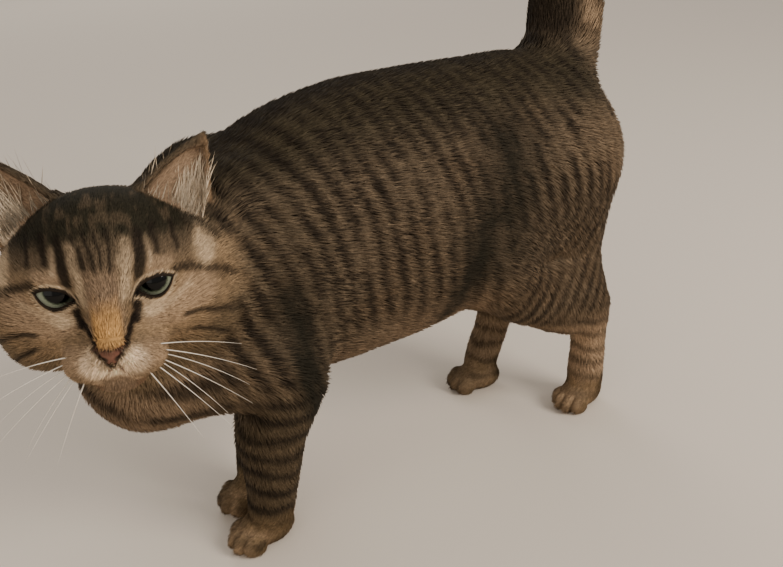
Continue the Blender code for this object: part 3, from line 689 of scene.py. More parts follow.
def skin(points):
    """The bare skin under the coat."""
    local = to_head(points)
    level = earless(points)
    near = (np.abs(local - (0, 5, 0)) < 95).all(1)
    depth = coat_sizes(points)[0]
    both = halves(local[near])
    eyes = [np.linalg.norm(half - np.array(EYE_CENTRE), axis=1) for half in both]
    thin = 1 - rise(np.minimum(*eyes), 12.5, 17)
    depth[near] += thin * (LID_COAT - depth[near])
    pad = 1 - rise(pad_distance(both[0]), -0.7, 0.5)
    pad *= both[0][:, 2] > PAD_FRONT
    depth[near] += pad * (PAD_COAT - depth[near])
    level = level + depth
    face = level[near]
    for half in both:
        outer, cup = ear_shell(half)
        face = np.maximum(smooth_join(face, outer + COATS["ear"][0], 4), -cup)
        face = smooth_cut(face, lid_opening(half), LID_EDGE)
        along, over, top, _ = lid_place(half)
        crease = np.exp(-((over - top - CREASE_GAP) / CREASE_WIDTH) ** 2)
        face = face + CREASE_DEPTH * crease * (np.abs(along) < 11) * (half[:, 2] > 22)
        face = smooth_cut(face, rod(half, *NOSTRIL), NOSTRIL_EDGE)
        face = smooth_cut(face, line_distance(half, mouth_route()) - MOUTH_RADIUS, MOUTH_EDGE)
    level[near] = face
    mirrored = np.stack([points[:, 0], -np.abs(points[:, 1]), points[:, 2]], 1)
    for route, width, _, fold in SHADE_LINES:
        level = level + fold * np.exp(-(line_distance(mirrored, route) / (0.6 * width)) ** 2)
    return np.maximum(level, SOLE - points[:, 2])


@functools.cache
def mouth_route():
    """The mouth's line, moved on to the head's surface."""
    return to_head(settle(lambda p: head(p) + 0.9, from_head(MOUTH_LINE), 3.0, 6))


def steepness(field, points, reach=0.4):
    """Gradient of a field by central differences."""
    slope = np.empty_like(points)
    for axis in range(3):
        step = np.zeros(3)
        step[axis] = reach
        slope[:, axis] = (field(points + step) - field(points - step)) / (2 * reach)
    return slope


def settle(field, points, limit, rounds=4):
    """Moves points on to the field's surface."""
    for _ in range(rounds):
        level = field(points)
        slope = steepness(field, points)
        size = np.maximum((slope ** 2).sum(1), 0.05)
        move = -slope * (level / size)[:, None]
        length = np.linalg.norm(move, axis=1)
        move *= np.minimum(1, limit / np.maximum(length, 1e-9))[:, None]
        points = points + move
    return points


def relaxed(field, points, ends, limit, rounds=2):
    """Evens the mesh out over the surface."""
    for _ in range(rounds):
        total = np.zeros_like(points)
        count = np.zeros(len(points))
        for near, far in (ends.T, ends[:, ::-1].T):
            np.add.at(total, near, points[far])
            np.add.at(count, near, 1)
        points = settle(field, 0.5 * points + 0.5 * total / count[:, None], limit, 1)
    return points


def without_corners(inside):
    """Fills grid points until no cell's inside touches itself only at a corner or along an edge."""
    added = True
    while added:
        before = inside.sum()
        for axis in range(3):
            level = np.moveaxis(inside, axis, 0)
            a, b, c, d = (level[:, i:level.shape[1] - 1 + i, j:level.shape[2] - 1 + j]
                          for i, j in itertools.product((0, 1), repeat=2))
            touching = (a & d & ~b & ~c) | (b & c & ~a & ~d)
            for square in (a, b, c, d):
                square |= touching
        corners = {
            (i, j, k): inside[i:inside.shape[0] - 1 + i, j:inside.shape[1] - 1 + j, k:inside.shape[2] - 1 + k]
            for i, j, k in itertools.product((0, 1), repeat=3)
        }
        count = sum(corner.astype(np.int8) for corner in corners.values())
        for j, k in itertools.product((0, 1), repeat=2):
            ends = corners[0, j, k].astype(np.int8) + corners[1, 1 - j, 1 - k]
            touching = ((ends == 2) & (count == 2)) | ((ends == 0) & (count == 6))
            for corner in corners.values():
                corner |= touching
        added = inside.sum() > before
    return inside


def grid_line(axis):
    """Grid places along one axis: fine over the head, coarse elsewhere, a whole number of blocks."""
    fine = np.arange(HEAD_LOW[axis], HEAD_HIGH[axis], HEAD_STEP)
    below = np.arange(HEAD_LOW[axis] - SKIN_STEP, SKIN_LOW[axis] - SKIN_STEP, -SKIN_STEP)[::-1]
    above = np.arange(fine[-1] + SKIN_STEP, SKIN_HIGH[axis] + BLOCK * SKIN_STEP, SKIN_STEP)
    line = np.concatenate([below, fine, above])
    return line[:(len(line) - 1) // BLOCK * BLOCK + 1]


def inside_grid(field, lines):
    """Which grid points lie inside, read block by block and fully only in blocks near the surface."""
    knots = [line[::BLOCK] for line in lines]
    corners = np.stack(np.meshgrid(*knots, indexing="ij"), -1)
    level = field(corners.reshape(-1, 3)).reshape(corners.shape[:3])
    sizes = np.sqrt(sum(
        np.diff(knot).reshape([-1 if axis == other else 1 for other in range(3)]) ** 2
        for axis, knot in enumerate(knots)
    ))
    nearest = np.full(sizes.shape, np.inf)
    for i, j, k in itertools.product((0, 1), repeat=3):
        part = level[i:level.shape[0] - 1 + i, j:level.shape[1] - 1 + j, k:level.shape[2] - 1 + k]
        nearest = np.minimum(nearest, np.abs(part))
    near = nearest < 1.1 * sizes
    inside = np.zeros([len(line) for line in lines], bool)
    wanted = np.zeros(inside.shape, bool)
    for offset in itertools.product(range(BLOCK + 1), repeat=3):
        view = tuple(slice(o, o + n * BLOCK - BLOCK + 1, BLOCK) for o, n in zip(offset, near.shape))
        wanted[view] |= near
        inside[view] |= level[:-1, :-1, :-1] < 0
    index = np.argwhere(wanted)
    points = np.stack([line[index[:, axis]] for axis, line in enumerate(lines)], 1)
    values = np.concatenate([field(part) for part in np.array_split(points, 1 + len(points) // 200000)])
    inside[wanted] = values < 0
    return inside


def net(field, lines):
    """Closed quad mesh of a field's surface: a vertex in each cell that it crosses, a quad over each edge."""
    inside = without_corners(inside_grid(field, lines))
    shape = inside.shape
    corners = sum(
        inside[i:i + shape[0] - 1, j:j + shape[1] - 1, k:k + shape[2] - 1].astype(np.int8)
        for i, j, k in itertools.product((0, 1), repeat=3)
    )
    crossed = (corners > 0) & (corners < 8)
    index = np.full(crossed.shape, -1)
    index[crossed] = np.arange(crossed.sum())
    cells = np.argwhere(crossed)
    middles = [(line[1:] + line[:-1]) / 2 for line in lines]
    points = np.stack([middle[cells[:, axis]] for axis, middle in enumerate(middles)], 1)
    quads = []
    for axis in range(3):
        first = np.moveaxis(inside, axis, 0)[:-1]
        second = np.moveaxis(inside, axis, 0)[1:]
        number = np.moveaxis(index, axis, 0)
        for flip in (False, True):
            i, j, k = np.argwhere((second & ~first) if flip else (first & ~second)).T
            ring = [number[i, j - 1, k - 1], number[i, j, k - 1], number[i, j, k], number[i, j - 1, k]]
            if flip != (axis == 1):
                ring.reverse()
            quads.append(np.stack(ring, 1))
    return points, np.concatenate(quads)


def place(points):
    """Moves points from the forms' frame to the model's, whose origin is below the middle of its box."""
    return np.array(points, float) - (*BOX_MIDDLE, 0.0)


def forms_place(points):
    """Model's metres back to the forms' millimetres."""
    return np.asarray(points, float) / MM + (*BOX_MIDDLE, 0.0)


def add_object(name, data):
    piece = bpy.data.objects.new(name, data)
    bpy.context.scene.collection.objects.link(piece)
    return piece


def read_array(rows, name, size, kind=np.float32):
    """One property of all rows of a mesh, with so many numbers to a row."""
    values = np.empty(len(rows) * size, kind)
    rows.foreach_get(name, values)
    return values


def vertex_array(mesh, name="co"):
    return read_array(mesh.vertices, name, 3).reshape(-1, 3).astype(float)


def set_vertices(mesh, points):
    mesh.vertices.foreach_set("co", np.asarray(points, np.float32).ravel())
    mesh.update()


def add_tint(mesh, colours):
    """Stores a colour for each vertex."""
    rgba = np.ones((len(mesh.vertices), 4), np.float32)
    rgba[:, :3] = colours
    tint = mesh.color_attributes.new("Coat", "FLOAT_COLOR", "POINT")
    tint.data.foreach_set("color", rgba.ravel())


def edit_mesh(mesh, change):
    """Changes a mesh by a function of its bmesh."""
    shape = bmesh.new()
    shape.from_mesh(mesh)
    change(shape)
    shape.to_mesh(mesh)
    shape.free()


def refine(mesh, wanted, field, limit):
    """Splits the faces whose middles are wanted and settles the mesh's new points."""
    def split(shape):
        middles = forms_place([face.calc_center_median() for face in shape.faces])
        chosen = wanted(middles)
        edges = {edge for face, take in zip(shape.faces, chosen) if take for edge in face.edges}
        bmesh.ops.subdivide_edges(shape, edges=list(edges), cuts=1, use_grid_fill=True)

    edit_mesh(mesh, split)
    points = forms_place(vertex_array(mesh))
    near = wanted(points)
    points[near] = settle(field, points[near], limit, 3)
    set_vertices(mesh, place(points) * MM)


def near_features(points, reach):
    """Points near the lids, the nose or the mouth."""
    local = to_head(points)
    found = np.zeros(len(points), bool)
    for half in halves(local):
        rim, along, _ = lid_rim(half)
        found |= (np.abs(rim) < reach) & (half[:, 2] > 20) & (np.abs(along) < LID_WIDTH + reach)
        found |= line_distance(half, mouth_route()) < reach * 0.7
    found |= (pad_distance(local) < reach * 0.6) & (local[:, 2] > PAD_FRONT)
    return found


def make_skin():
    lines = [grid_line(axis) for axis in range(3)]
    points, quads = net(skin, lines)
    mesh = bpy.data.meshes.new("skin")
    mesh.from_pydata((place(points) * MM).tolist(), [], quads.tolist())
    points = settle(skin, points, SKIN_STEP, 4)
    ends = read_array(mesh.edges, "vertices", 2, np.int32).reshape(-1, 2)
    points = relaxed(skin, points, ends, SKIN_STEP, 2)
    set_vertices(mesh, place(points) * MM)
    refine(mesh, lambda p: near_features(p, 4.0), skin, 0.7)
    refine(mesh, lambda p: near_features(p, 2.2), skin, 0.4)
    edit_mesh(mesh, lambda shape: bmesh.ops.triangulate(shape, faces=shape.faces[:]))
    mesh.shade_smooth()
    return add_object("skin", mesh)


def value_noise(points, size, seed):
    """Smooth noise between -1 and 1 with features of the given size in mm."""
    grid = points / size
    cell = np.floor(grid).astype(np.int64)
    part = grid - cell
    part = part * part * (3 - 2 * part)
    total = np.zeros(len(points))
    for corner in itertools.product((0, 1), repeat=3):
        i, j, k = (cell + corner).T
        code = (i * 73856093) ^ (j * 19349663) ^ (k * 83492791) ^ (seed * 40503 + 977)
        code = ((code ^ (code >> 13)) * 1274126177) & 0xFFFFFFFF
        code = ((code ^ (code >> 16)) * 668265263) & 0xFFFFFFFF
        value = ((code >> 8) & 0xFFFF) / 32767.5 - 1
        weight = np.prod([p if c else 1 - p for c, p in zip(corner, part.T)], axis=0)
        total += weight * value
    return total


def paint(colour, share, shade):
    """Lays a shade over the colours, by the share of each point."""
    colour += share[:, None] * (np.array(shade, float) - colour)


def band(turns, low, high):
    """Dark lines once a turn: 0 between them, 1 at their middles."""
    return rise(0.5 + 0.5 * np.cos(2 * math.pi * turns), low, high)


def mark(local, route, half_width, softness):
    """Share of a line drawn on the face, given by its route seen from in front."""
    flat = np.stack([local[:, 0], local[:, 1], np.zeros(len(local))], 1)
    level = line_distance(flat, [(x, y, 0) for x, y in route])
    return 1 - rise(level, half_width - softness, half_width + softness)


def patch(local, centre, radii, softness=0.35):
    """Share of an oval patch on the face, seen from in front."""
    x, y = (local[:, :2] - np.array(centre, float)).T
    return 1 - rise(np.hypot(x / radii[0], y / radii[1]), 1 - softness, 1 + softness)


def body_colours(points, facing):
    """Colours of the coat apart from the head."""
    x, y, z = points.T
    wide = value_noise(points, 30, 1)
    warp = 3.2 * wide + 1.6 * value_noise(points, 11, 2)
    patchy = value_noise(points, (13, 13, 26), 3)
    fine = value_noise(points, 5, 4)
    colour = np.tile(GROUND, (len(points), 1))
    paint(colour, 0.5 * rise(wide + fine * 0.4, -0.4, 0.9), WARM)
    off_trunk = rise(trunk(points), *OFF_TRUNK)
    low = 1 - rise(z, *LEG_MARKS)
    belly = (1 - off_trunk) * (1 - rise(z, *BELLY_TOP)) * rise(-facing[:, 2], -0.1, 0.6)
    paint(colour, 0.85 * belly, BUFF)
    haunch = rise(x, 95, 135) * rise(z, 165, 190) * (1 - rise(z, 222, 244))
    paint(colour, 0.30 * haunch, BUFF)

    bent = 0.13 * (z - 205) + 0.27 * np.logaddexp(0, (z - 205) / 8) * 8
    bent += 0.25 * rise(-x, 40, 95) * (z - 190)
    flank = band((x + bent + 0.8 * warp) / STRIPE_SPACING, 0.24, 0.60)
    thigh = band((x - 0.75 * (z - 140) + 0.5 * warp) / (1.1 * STRIPE_SPACING), 0.22, 0.60)
    on_thigh = rise(x, *THIGH_FRONT) * (1 - rise(z, *THIGH_TOP))
    lines = flank + on_thigh * (thigh - flank)
    spotty = rise(x, 35, 85) * rise(z, 165, 200)
    broken = 0.4 + 0.6 * rise(patchy + 0.35 * fine, -0.85 + 0.5 * spotty, -0.25 + 0.35 * spotty)
    dark = lines * broken * (1 - 0.65 * belly)

    on_leg = off_trunk * low
    front = 1 - rise(x, *FORE_BACK)
    bars = band((z + 0.3 * x + warp) / 14.0, 0.40, 0.78) * front
    shank = 0.75 * band((z + 0.25 * x + warp) / 12.5, 0.5, 0.9) * (1 - front) * (1 - rise(z, *SHANK_TOP))
    limb_dark = bars + shank + thigh * (1 - front) * rise(z, *SHANK_TOP) * 0.9
    dark += on_leg * (limb_dark * (0.75 + 0.25 * rise(patchy, -0.6, 0.2)) - dark)

    on_neck = (1 - rise(x, -142, -112)) * rise(z, 96, 112)
    collar = band((np.hypot(x + 128, 0.9 * (z - 235)) + 0.25 * y + warp) / 19.0, 0.5, 0.88)
    dark += on_neck * (0.85 * collar * rise(patchy, -0.9, -0.1) - dark)

    on_tail = rise(z, *TAIL_MARKS) * rise(x, *TAIL_FRONT)
    path = smooth_path(TAIL)
    middle = np.interp(z, path[:, 2], path[:, 0])
    ahead = np.clip((middle - x) / 22.0, -1, 1)
    rings = band((z + 0.35 * x + 0.6 * warp) / 23.0, 0.35, 0.75)
    dorsal = rise(ahead, 0.05, 0.75)
    tail_dark = np.maximum(rings * (0.72 + 0.28 * ahead), dorsal) * (0.9 + 0.1 * fine)
    tail_dark = np.maximum(tail_dark, rise(z, *TAIL_DARK))
    paint(colour, on_tail * 0.75 * (1 - dorsal), PALE)
    dark += on_tail * (tail_dark - dark)

    paint(colour, on_leg * (1 - rise(z, 85, 110)) * 0.4, WARM)
    # Buff and pale on the lower hind legs, strengthened as painted light where the lamp falls on the shanks
    paint(colour, on_leg * (1 - front) * (1 - rise(z, 66, 90)) * 0.85, BUFF)
    paint(colour, on_leg * (1 - front) * (1 - rise(z, 60, 85)) * 0.65, PALE)
    paint(colour, on_leg * front * 0.55, OLIVE)
    shoulder = (1 - off_trunk) * (1 - rise(x, -75, -30)) * rise(x, -150, -110) * (1 - rise(z, 205, 235))
    paint(colour, shoulder * 0.3, OLIVE)
    chest = (1 - rise(x, -150, -125)) * (1 - rise(z, 135, 175)) * rise(z, 98, 110)
    paint(colour, 0.6 * chest, BUFF)
    paint(colour, (1 - rise(z, 17, 32)) * (0.6 + 0.25 * fine), TOE)
    paint(colour, (1 - rise(z, 12, 20)) * (0.45 + 0.3 * fine) * rise(-facing[:, 0], -0.2, 0.5), PALE)
    dark *= 1 - (0.75 - 0.35 * rise(patchy, 0, 0.4)) * (1 - rise(z, 16, 34))
    # Painted shade: the legs of the far side, the cat's right, are made darker olive
    paint(colour, rise(y, 2, 14) * low * off_trunk * 0.4, OLIVE)

    line = (1 - rise(np.abs(y + 1.5 * wide), 6, 17)) * rise(facing[:, 2], 0.35, 0.8) * rise(z, *SPINE)
    line *= 1 - on_tail
    dark = np.maximum(dark, 0.85 * line * (0.8 + 0.2 * fine))
    paint(colour, (1 - on_tail) * rise(facing[:, 2], 0.15, 0.8) * rise(z, 205, 240) * 0.85, OLIVE)
    # Painted shade in the fold in front of each thigh and behind each elbow, on both sides: the stripes
    # darken there and a patchy near-black is laid over the coat
    mirrored = np.stack([x, -np.abs(y), z], 1) + 0.5 * warp[:, None]
    shaded = np.zeros(len(points))
    for route, width, strength, _ in SHADE_LINES:
        shade = 1 - rise(line_distance(mirrored, route), 0.15 * width, width)
        dark = np.maximum(dark, 0.55 * strength * shade)
        mottle = 0.45 + 0.55 * rise(patchy + 0.7 * fine + 0.5 * lines, -0.5, 0.7)
        shaded = np.maximum(shaded, strength * shade * mottle)
    paint(colour, np.clip(dark, 0, 1) * 0.94, STRIPE)
    paint(colour, shaded, FOLD_SHADE)
    return colour


def face_colours(local):
    """Colours of the head, from places in its own axes."""
    x, y, z = local.T
    side = np.abs(x)
    half = np.stack([side, y, z], 1)
    streak = value_noise(local, (1.5, 7, 6), 15)
    warp = np.stack([value_noise(local, 7, 11) + 0.75 * streak, value_noise(local, 7, 12), 0 * x], 1) * 0.9
    local = local + warp
    half = half + warp
    fine = value_noise(local, 3, 13)
    colour = np.tile(CHEEK, (len(local), 1))
    paint(colour, 0.5 * rise(fine + value_noise(local, 9, 14), -0.5, 1.0), FOREHEAD)
    paint(colour, rise(y, 11, 20), FOREHEAD)
    crown = rise(y + 0.15 * side + 1.5 * streak, 25, 33)
    paint(colour, crown, CROWN)
    mottle = value_noise(local, (3.5, 6, 6), 16) + 0.6 * streak
    paint(colour, 0.55 * crown * rise(mottle, 0.0, 0.8), FOREHEAD)
    paint(colour, rise(-z, 2, 22), GROUND)
    paint(colour, 0.5 * rise(-y, 6, 20) * (1 - rise(z, 8, 24)), OLIVE)
    paint(colour, rise(-z, 6, 30) * rise(y, -10, 25) * 0.7, CROWN)
    front = rise(z, 2, 14)

    # Pale areas: under, over and beside the eyes, before the ears, and the chin
    paint(colour, 0.75 * front * patch(half, (25, -6), (11, 6.5)), PALE)
    paint(colour, 0.85 * front * patch(half, (17.5, -4.2), (5.2, 3.2)), CREAM)
    paint(colour, 0.7 * front * patch(half, (22.5, 14.5), (6.5, 3.0)), PALE)
    paint(colour, 0.85 * rise(z, -8, 6) * patch(half, (37, 0), (9, 9)), PALE)
    paint(colour, 0.8 * patch(half, (43.5, 16), (5, 9)) * rise(z, -12, 4), CREAM)
    paint(colour, 0.85 * patch(local, (0, -36), (15, 7.5)) * rise(z, 14, 24), CHIN)
    paint(colour, 0.85 * patch(local, (0, -30.5), (10, 2.6)) * rise(z, 26, 32), CREAM)

    # Bridge of the nose, grey-brown above and orange below
    paint(colour, 0.9 * (1 - rise(side, 5, 8.5)) * rise(z, 25, 31) * (1 - rise(y, 13, 21)), BRIDGE_TOP)
    orange = (1 - rise(side, 4.2, 7)) * rise(z, 30, 36) * (1 - rise(y + 2 * fine, -4, 9)) * rise(y, -15, -11)
    paint(colour, orange, BRIDGE_LOW)

    # Lines of the forehead, brows and cheeks
    for route, width in BROW_LINES:
        paint(colour, 0.9 * front * mark(half, route, width, 0.9), STRIPE)
    for route, width in CREAM_LINES:
        paint(colour, (0.78 - 0.4 * rise(y, 15, 26)) * front * mark(half, route, width, 1.3), CREAM)
    for route, width in CENTRE_LINES:
        paint(colour, 0.75 * front * mark(local, route, width, 0.7), STRIPE)
    for route, width in DARK_LINES:
        paint(colour, 0.85 * rise(z, -30, -12) * mark(half, route, width, 0.9), STRIPE)
    for route, width in TEAR_LINES:
        paint(colour, 0.95 * front * mark(half, route, width, 0.7), BLACK)

    under_eye = mark(half, ((34, 3.5), (26, -1.5), (17, -5.5)), 1.6, 1.2)
    paint(colour, 0.55 * front * under_eye, CREAM)

    # Muzzle, over the lower ends of the lines beside the nose
    paint(colour, 0.85 * patch(half, (14.5, -19.5), (7.5, 6)) * rise(z, 20, 30), PALE)
    paint(colour, patch(half, (6.0, -20.6), (7.2, 6.4), 0.4) * rise(z, 28, 36), WHITE)
    paint(colour, patch(local, (0, -22.0), (7, 4.5)) * rise(z, 34, 40), WHITE)
    paint(colour, 0.5 * rise(fine, 0.1, 0.5) * patch(half, (13, -20), (5, 5)) * rise(z, 20, 30), CHEEK)

    # Rims of the lids
    rim, along, over = lid_rim(half - warp)
    close = (z > 18) & (np.abs(along) < LID_WIDTH + 3.5)
    paint(colour, 0.85 * close * rise(rim, 0.9, 1.6) * (1 - rise(rim, 2.6, 3.8)), CREAM)
    thick = 0.8 + 0.9 * (over > 0)
    paint(colour, 0.95 * close * (1 - rise(rim, thick, thick + 0.7)), BLACK)

    # Bare nose, nostrils and lips
    pad = (1 - rise(pad_distance(local - warp), -0.5, 0.5)) * rise(z, 40, 43)
    edge = pad * rise(pad_distance(local - warp), -1.4, -0.3)
    paint(colour, pad, NOSE_SKIN)
    paint(colour, 0.75 * edge, BLACK)
    paint(colour, 1 - rise(rod(half - warp, *NOSTRIL), -0.2, 0.7), BLACK)
    lip = line_distance(half - warp, mouth_route())
    paint(colour, 0.85 * (1 - rise(lip, 0.4, 1.1)) * rise(-y, 18, 20), LIP)
    return colour


def ear_colours(colour, local):
    """Adds the ears: pale inside, dark behind, white at the base of the opening."""
    for half in halves(local):
        outer, cup = ear_shell(half)
        sideways, height, front = ear_place(half).T
        on_ear = (1 - rise(outer, 0.3, 2.5)) * rise(height, 3, 12)
        inner = on_ear * (1 - rise(cup, 0.2, 1.3)) * rise(height, 6, 12)
        paint(colour, on_ear, EAR_BACK)
        paint(colour, inner, EAR_INSIDE)
        outside_edge = rise(sideways, 1, 9)
        paint(colour, 0.8 * inner * outside_edge * (1 - rise(height, 22, 34)), EAR_WHITE)
        width = EAR_HALF_WIDTH * (1 - np.clip(height / EAR_LENGTH, 0, 1) ** 1.6) ** 0.9
        paint(colour, 0.85 * inner * (1 - rise(sideways / (width + 1), -0.72, -0.45)), EAR_BACK)
        paint(colour, 0.75 * on_ear * (1 - inner) * rise(front, -2, 2) * rise(sideways, -4, 4), EAR_EDGE)
        near = rise(front, -6, 2) * (1 - rise(height, 4, 11)) * rise(height, -9, -2)
        paint(colour, 0.8 * near * (1 - rise(np.abs(sideways), 12, 20)) * (1 - rise(outer, 3, 9)), EAR_WHITE)


def markings(points, normals):
    """Colours of the coat and of the skin under it."""
    local = to_head(points)
    ragged = 0.06 * value_noise(points, 8, 21)
    on_head = 1 - rise(oval(local, *HEAD_MARKS) + ragged, 0.96, 1.22)
    colour = body_colours(points, normals)
    near = (np.abs(local) < 110).all(1)
    part = colour[near]
    part += on_head[near][:, None] * (face_colours(local[near]) - part)
    ear_colours(part, local[near])
    colour[near] = part
    return np.clip(colour, 0.003, 0.9)


def lie(points, normals):
    """Direction in which the hair lies, along the surface."""
    x, _, z = points.T
    axes = head_axes()
    local = to_head(points)
    shares = region_shares(points)

    def blend(way, share, other):
        return way + share[:, None] * (other - way)

    def unit(way):
        return way / np.maximum(np.linalg.norm(way, axis=1), 1e-9)[:, None]

    def same(vector):
        return np.tile(np.array(vector, float) / np.linalg.norm(vector), (len(points), 1))

    way = same((1, 0, -0.28))
    way = blend(way, rise(-x, 105, 150) * (1 - rise(z, 175, 215)), same((0.35, 0, -1)))
    way = blend(way, rise(x, 40, 90) * (1 - rise(z, 170, 225)), same((0.55, 0, -0.85)))
    way = blend(way, shares["leg"], same((0.28, 0, -1)))
    way = blend(way, shares["paw"], same((-0.9, 0, -0.45)))
    path = smooth_path(TAIL)
    ahead = np.gradient(path[:, :3], axis=0)
    ahead = np.stack([np.interp(z, path[:, 2], column) for column in ahead.T], 1)
    way = blend(way, shares["tail"], unit(ahead))
    from_nose = local - np.array((0, -11, 44))
    from_nose[:, 1] -= 0.25 * np.maximum(-local[:, 2], 0)
    around = np.linalg.norm(local / (62, 55, 58), axis=1)
    way = blend(way, 1 - rise(around, 0.85, 1.25), unit(from_nose) @ axes)
    for mirror in MIRRORS:
        outer, _ = ear_shell(local * mirror)
        height = ear_place(local * mirror)[:, 1]
        share = (1 - rise(outer, 0.5, 3.5)) * rise(height, 0, 12)
        tip = (ear_axes()[1] * mirror + np.array((0.15, 0, 0)) * mirror) @ axes
        way = blend(way, share, same(tip))
    way -= (way * normals).sum(1)[:, None] * normals
    return unit(way)


def triangle_arrays(mesh):
    """Corners of a mesh's triangles, their unwrap, and the vertices' places and normals."""
    corners = read_array(mesh.loops, "vertex_index", 1, np.int32).reshape(-1, 3)
    spots = read_array(mesh.uv_layers["OFBake"].data, "uv", 2).reshape(-1, 3, 2)
    return corners, spots, forms_place(vertex_array(mesh)), vertex_array(mesh, "normal")


def sow(piece, random, density):
    """Places, normals and unwrap places of roots strewn over the skin, so many to the square millimetre."""
    corners, spots, points, normals = triangle_arrays(piece.data)
    a, b, c = (points[corners[:, i]] for i in range(3))
    area = 0.5 * np.linalg.norm(np.cross(b - a, c - a), axis=1)
    wanted = area * density((a + b + c) / 3)
    total = np.concatenate([[0], np.cumsum(wanted)])
    count = int(total[-1])
    at = (np.arange(count) + random.random(count)) * total[-1] / count
    chosen = np.clip(np.searchsorted(total, at, side="right") - 1, 0, len(corners) - 1)
    share = np.sqrt(random.random(count))
    slide = random.random(count)
    weights = np.stack([1 - share, share * (1 - slide), share * slide], 1)

    def at_root(values):
        return (weights[:, :, None] * values[chosen]).sum(1)

    normal = at_root(normals[corners])
    normal /= np.linalg.norm(normal, axis=1)[:, None]
    return at_root(points[corners]), normal, at_root(spots)


def coat_density(points):
    """Thick where the tufts are short."""
    _, length, width, layers = coat_sizes(points)
    return layers / (0.5 * length * width) * bare_share(points)


def ear_hair_density(points):
    """Long hair grows inside the outer edge of each ear and at its base."""
    local = to_head(points)
    found = np.zeros(len(points))
    for half in halves(local):
        outer, cup = ear_shell(half)
        sideways, height, _ = ear_place(half).T
        inside = (1 - rise(cup, 0.3, 1.2)) * (outer < 2.5) * rise(height, 5, 9) * (1 - rise(height, 24, 34))
        found = np.maximum(found, inside * (0.06 + rise(sideways, 2, 8)))
    return EAR_HAIR_DENSITY * found


def bare_share(points):
    """0 where no hair grows: on the bare nose, the lids' rims and the mouth's line, and under the paws."""
    local = to_head(points)
    share = rise(points[:, 2], 0.8, 2.0)
    near = (np.abs(local) < 60).all(1) & (local[:, 2] > 14)
    face = local[near]
    grown = np.ones(len(face))
    grown *= 1 - (1 - rise(pad_distance(face), -0.4, 0.3)) * (face[:, 2] > PAD_FRONT)
    for half in halves(face):
        rim, _, _ = lid_rim(half)
        grown *= 1 - (1 - rise(rim, 0.9, 1.5)) * (half[:, 0] > 0)
        grown *= rise(line_distance(half, mouth_route()), 0.7, 1.1)
    share[near] *= grown
    return share


def tuft_mesh(name, points, shading, colours, spots):
    """One mesh of closed four-point tufts: root, two sides and tip."""
    count = len(points)
    faces = np.array(((0, 2, 1), (3, 1, 2), (0, 1, 3), (0, 3, 2)))
    corners = (faces.ravel()[None] + 4 * np.arange(count)[:, None]).ravel()
    mesh = bpy.data.meshes.new(name)
    mesh.vertices.add(4 * count)
    mesh.vertices.foreach_set("co", (place(points.reshape(-1, 3)) * MM).astype(np.float32).ravel())
    mesh.loops.add(len(corners))
    mesh.loops.foreach_set("vertex_index", corners.astype(np.int32))
    mesh.polygons.add(len(corners) // 3)
    mesh.polygons.foreach_set("loop_start", np.arange(0, len(corners), 3, dtype=np.int32))
    mesh.update(calc_edges=True)
    unwrap = mesh.uv_layers.new(name="OFBake")
    offsets = TUFT_PATCH * np.array(((0, 0.5), (0.5, 0), (0.5, 1), (1, 0.5)))
    spread = (spots[:, None, :] + offsets[None]).reshape(-1, 2)
    unwrap.data.foreach_set("uv", spread[corners].astype(np.float32).ravel())
    add_tint(mesh, colours.reshape(-1, 3))
    mesh.shade_smooth()
    mesh.normals_split_custom_set_from_vertices(shading.reshape(-1, 3).astype(np.float32))
    mesh.materials.append(COAT_MATERIAL)
    return add_object(name, mesh)


def tuft_colours(points, normals, random):
    """Root, side and tip colours of each tuft: dark at the root, ticked at the tip."""
    near = markings(points[:, 1:3].mean(1), normals)
    far = markings(points[:, 3], normals)
    bright = near.mean(1)
    pale = rise(bright, 0.16, 0.34)
    shade = 1 + 0.14 * random.standard_normal(len(points)).clip(-2, 2)
    ticked = random.random(len(points))
    tip = np.where(ticked < 0.25, 1.4, np.where(ticked < 0.45, 0.65, 1.05))
    tip = 1 + (tip - 1) * (1 - 0.7 * pale) * rise(bright, 0.03, 0.07)
    root = TUFT_ROOT_SHADE + 0.3 * pale
    colours = np.empty((len(points), 4, 3))
    colours[:, 0] = near * (root * shade)[:, None]
    colours[:, 1:3] = (near * shade[:, None])[:, None]
    colours[:, 3] = far * (tip * shade)[:, None]
    return np.clip(colours, 0.002, 0.92)


def make_coat(piece):
    random = np.random.default_rng(7)
    roots, normals, spots = sow(piece, random, coat_density)
    shares = region_shares(roots)
    region = np.zeros(len(roots), int)
    for i, name in enumerate(("leg", "tail", "cheek", "ear"), start=1):
        region[shares[name] > 0.5] = i
    pieces = []
    for i, name in enumerate(("body", "legs", "tail", "head", "ears")):
        members = np.flatnonzero(region == i)
        members = members[np.argsort(roots[members, 0], kind="stable")]
        for part, group in enumerate(np.array_split(members, 1 + len(members) // TUFTS_A_PIECE), start=1):
            depth, length, width, _ = coat_sizes(roots[group])
            ways = lie(roots[group], normals[group])
            pieces.append(grow(f"coat_{name}_{part}", roots[group], normals[group], spots[group], ways, depth,
                               length, width, random))
    return pieces


def make_ear_hair(piece):
    random = np.random.default_rng(11)
    roots, normals, spots = sow(piece, random, ear_hair_density)
    local = to_head(roots)
    mirror = np.where(local[:, 0] < 0, -1.0, 1.0)
    sideways, axis, facing = ear_axes()
    ways = 0.9 * axis - 0.35 * sideways + 0.3 * facing + 0.15 * random.standard_normal((len(roots), 3))
    ways[:, 0] *= mirror
    ways = ways @ head_axes()
    ways /= np.linalg.norm(ways, axis=1)[:, None]
    shortest, further, width, depth = EAR_HAIR
    length = shortest + further * random.random(len(roots))
    return grow("ear_hair", roots, normals, spots, ways, depth, length, width, random, EAR_WHITE)


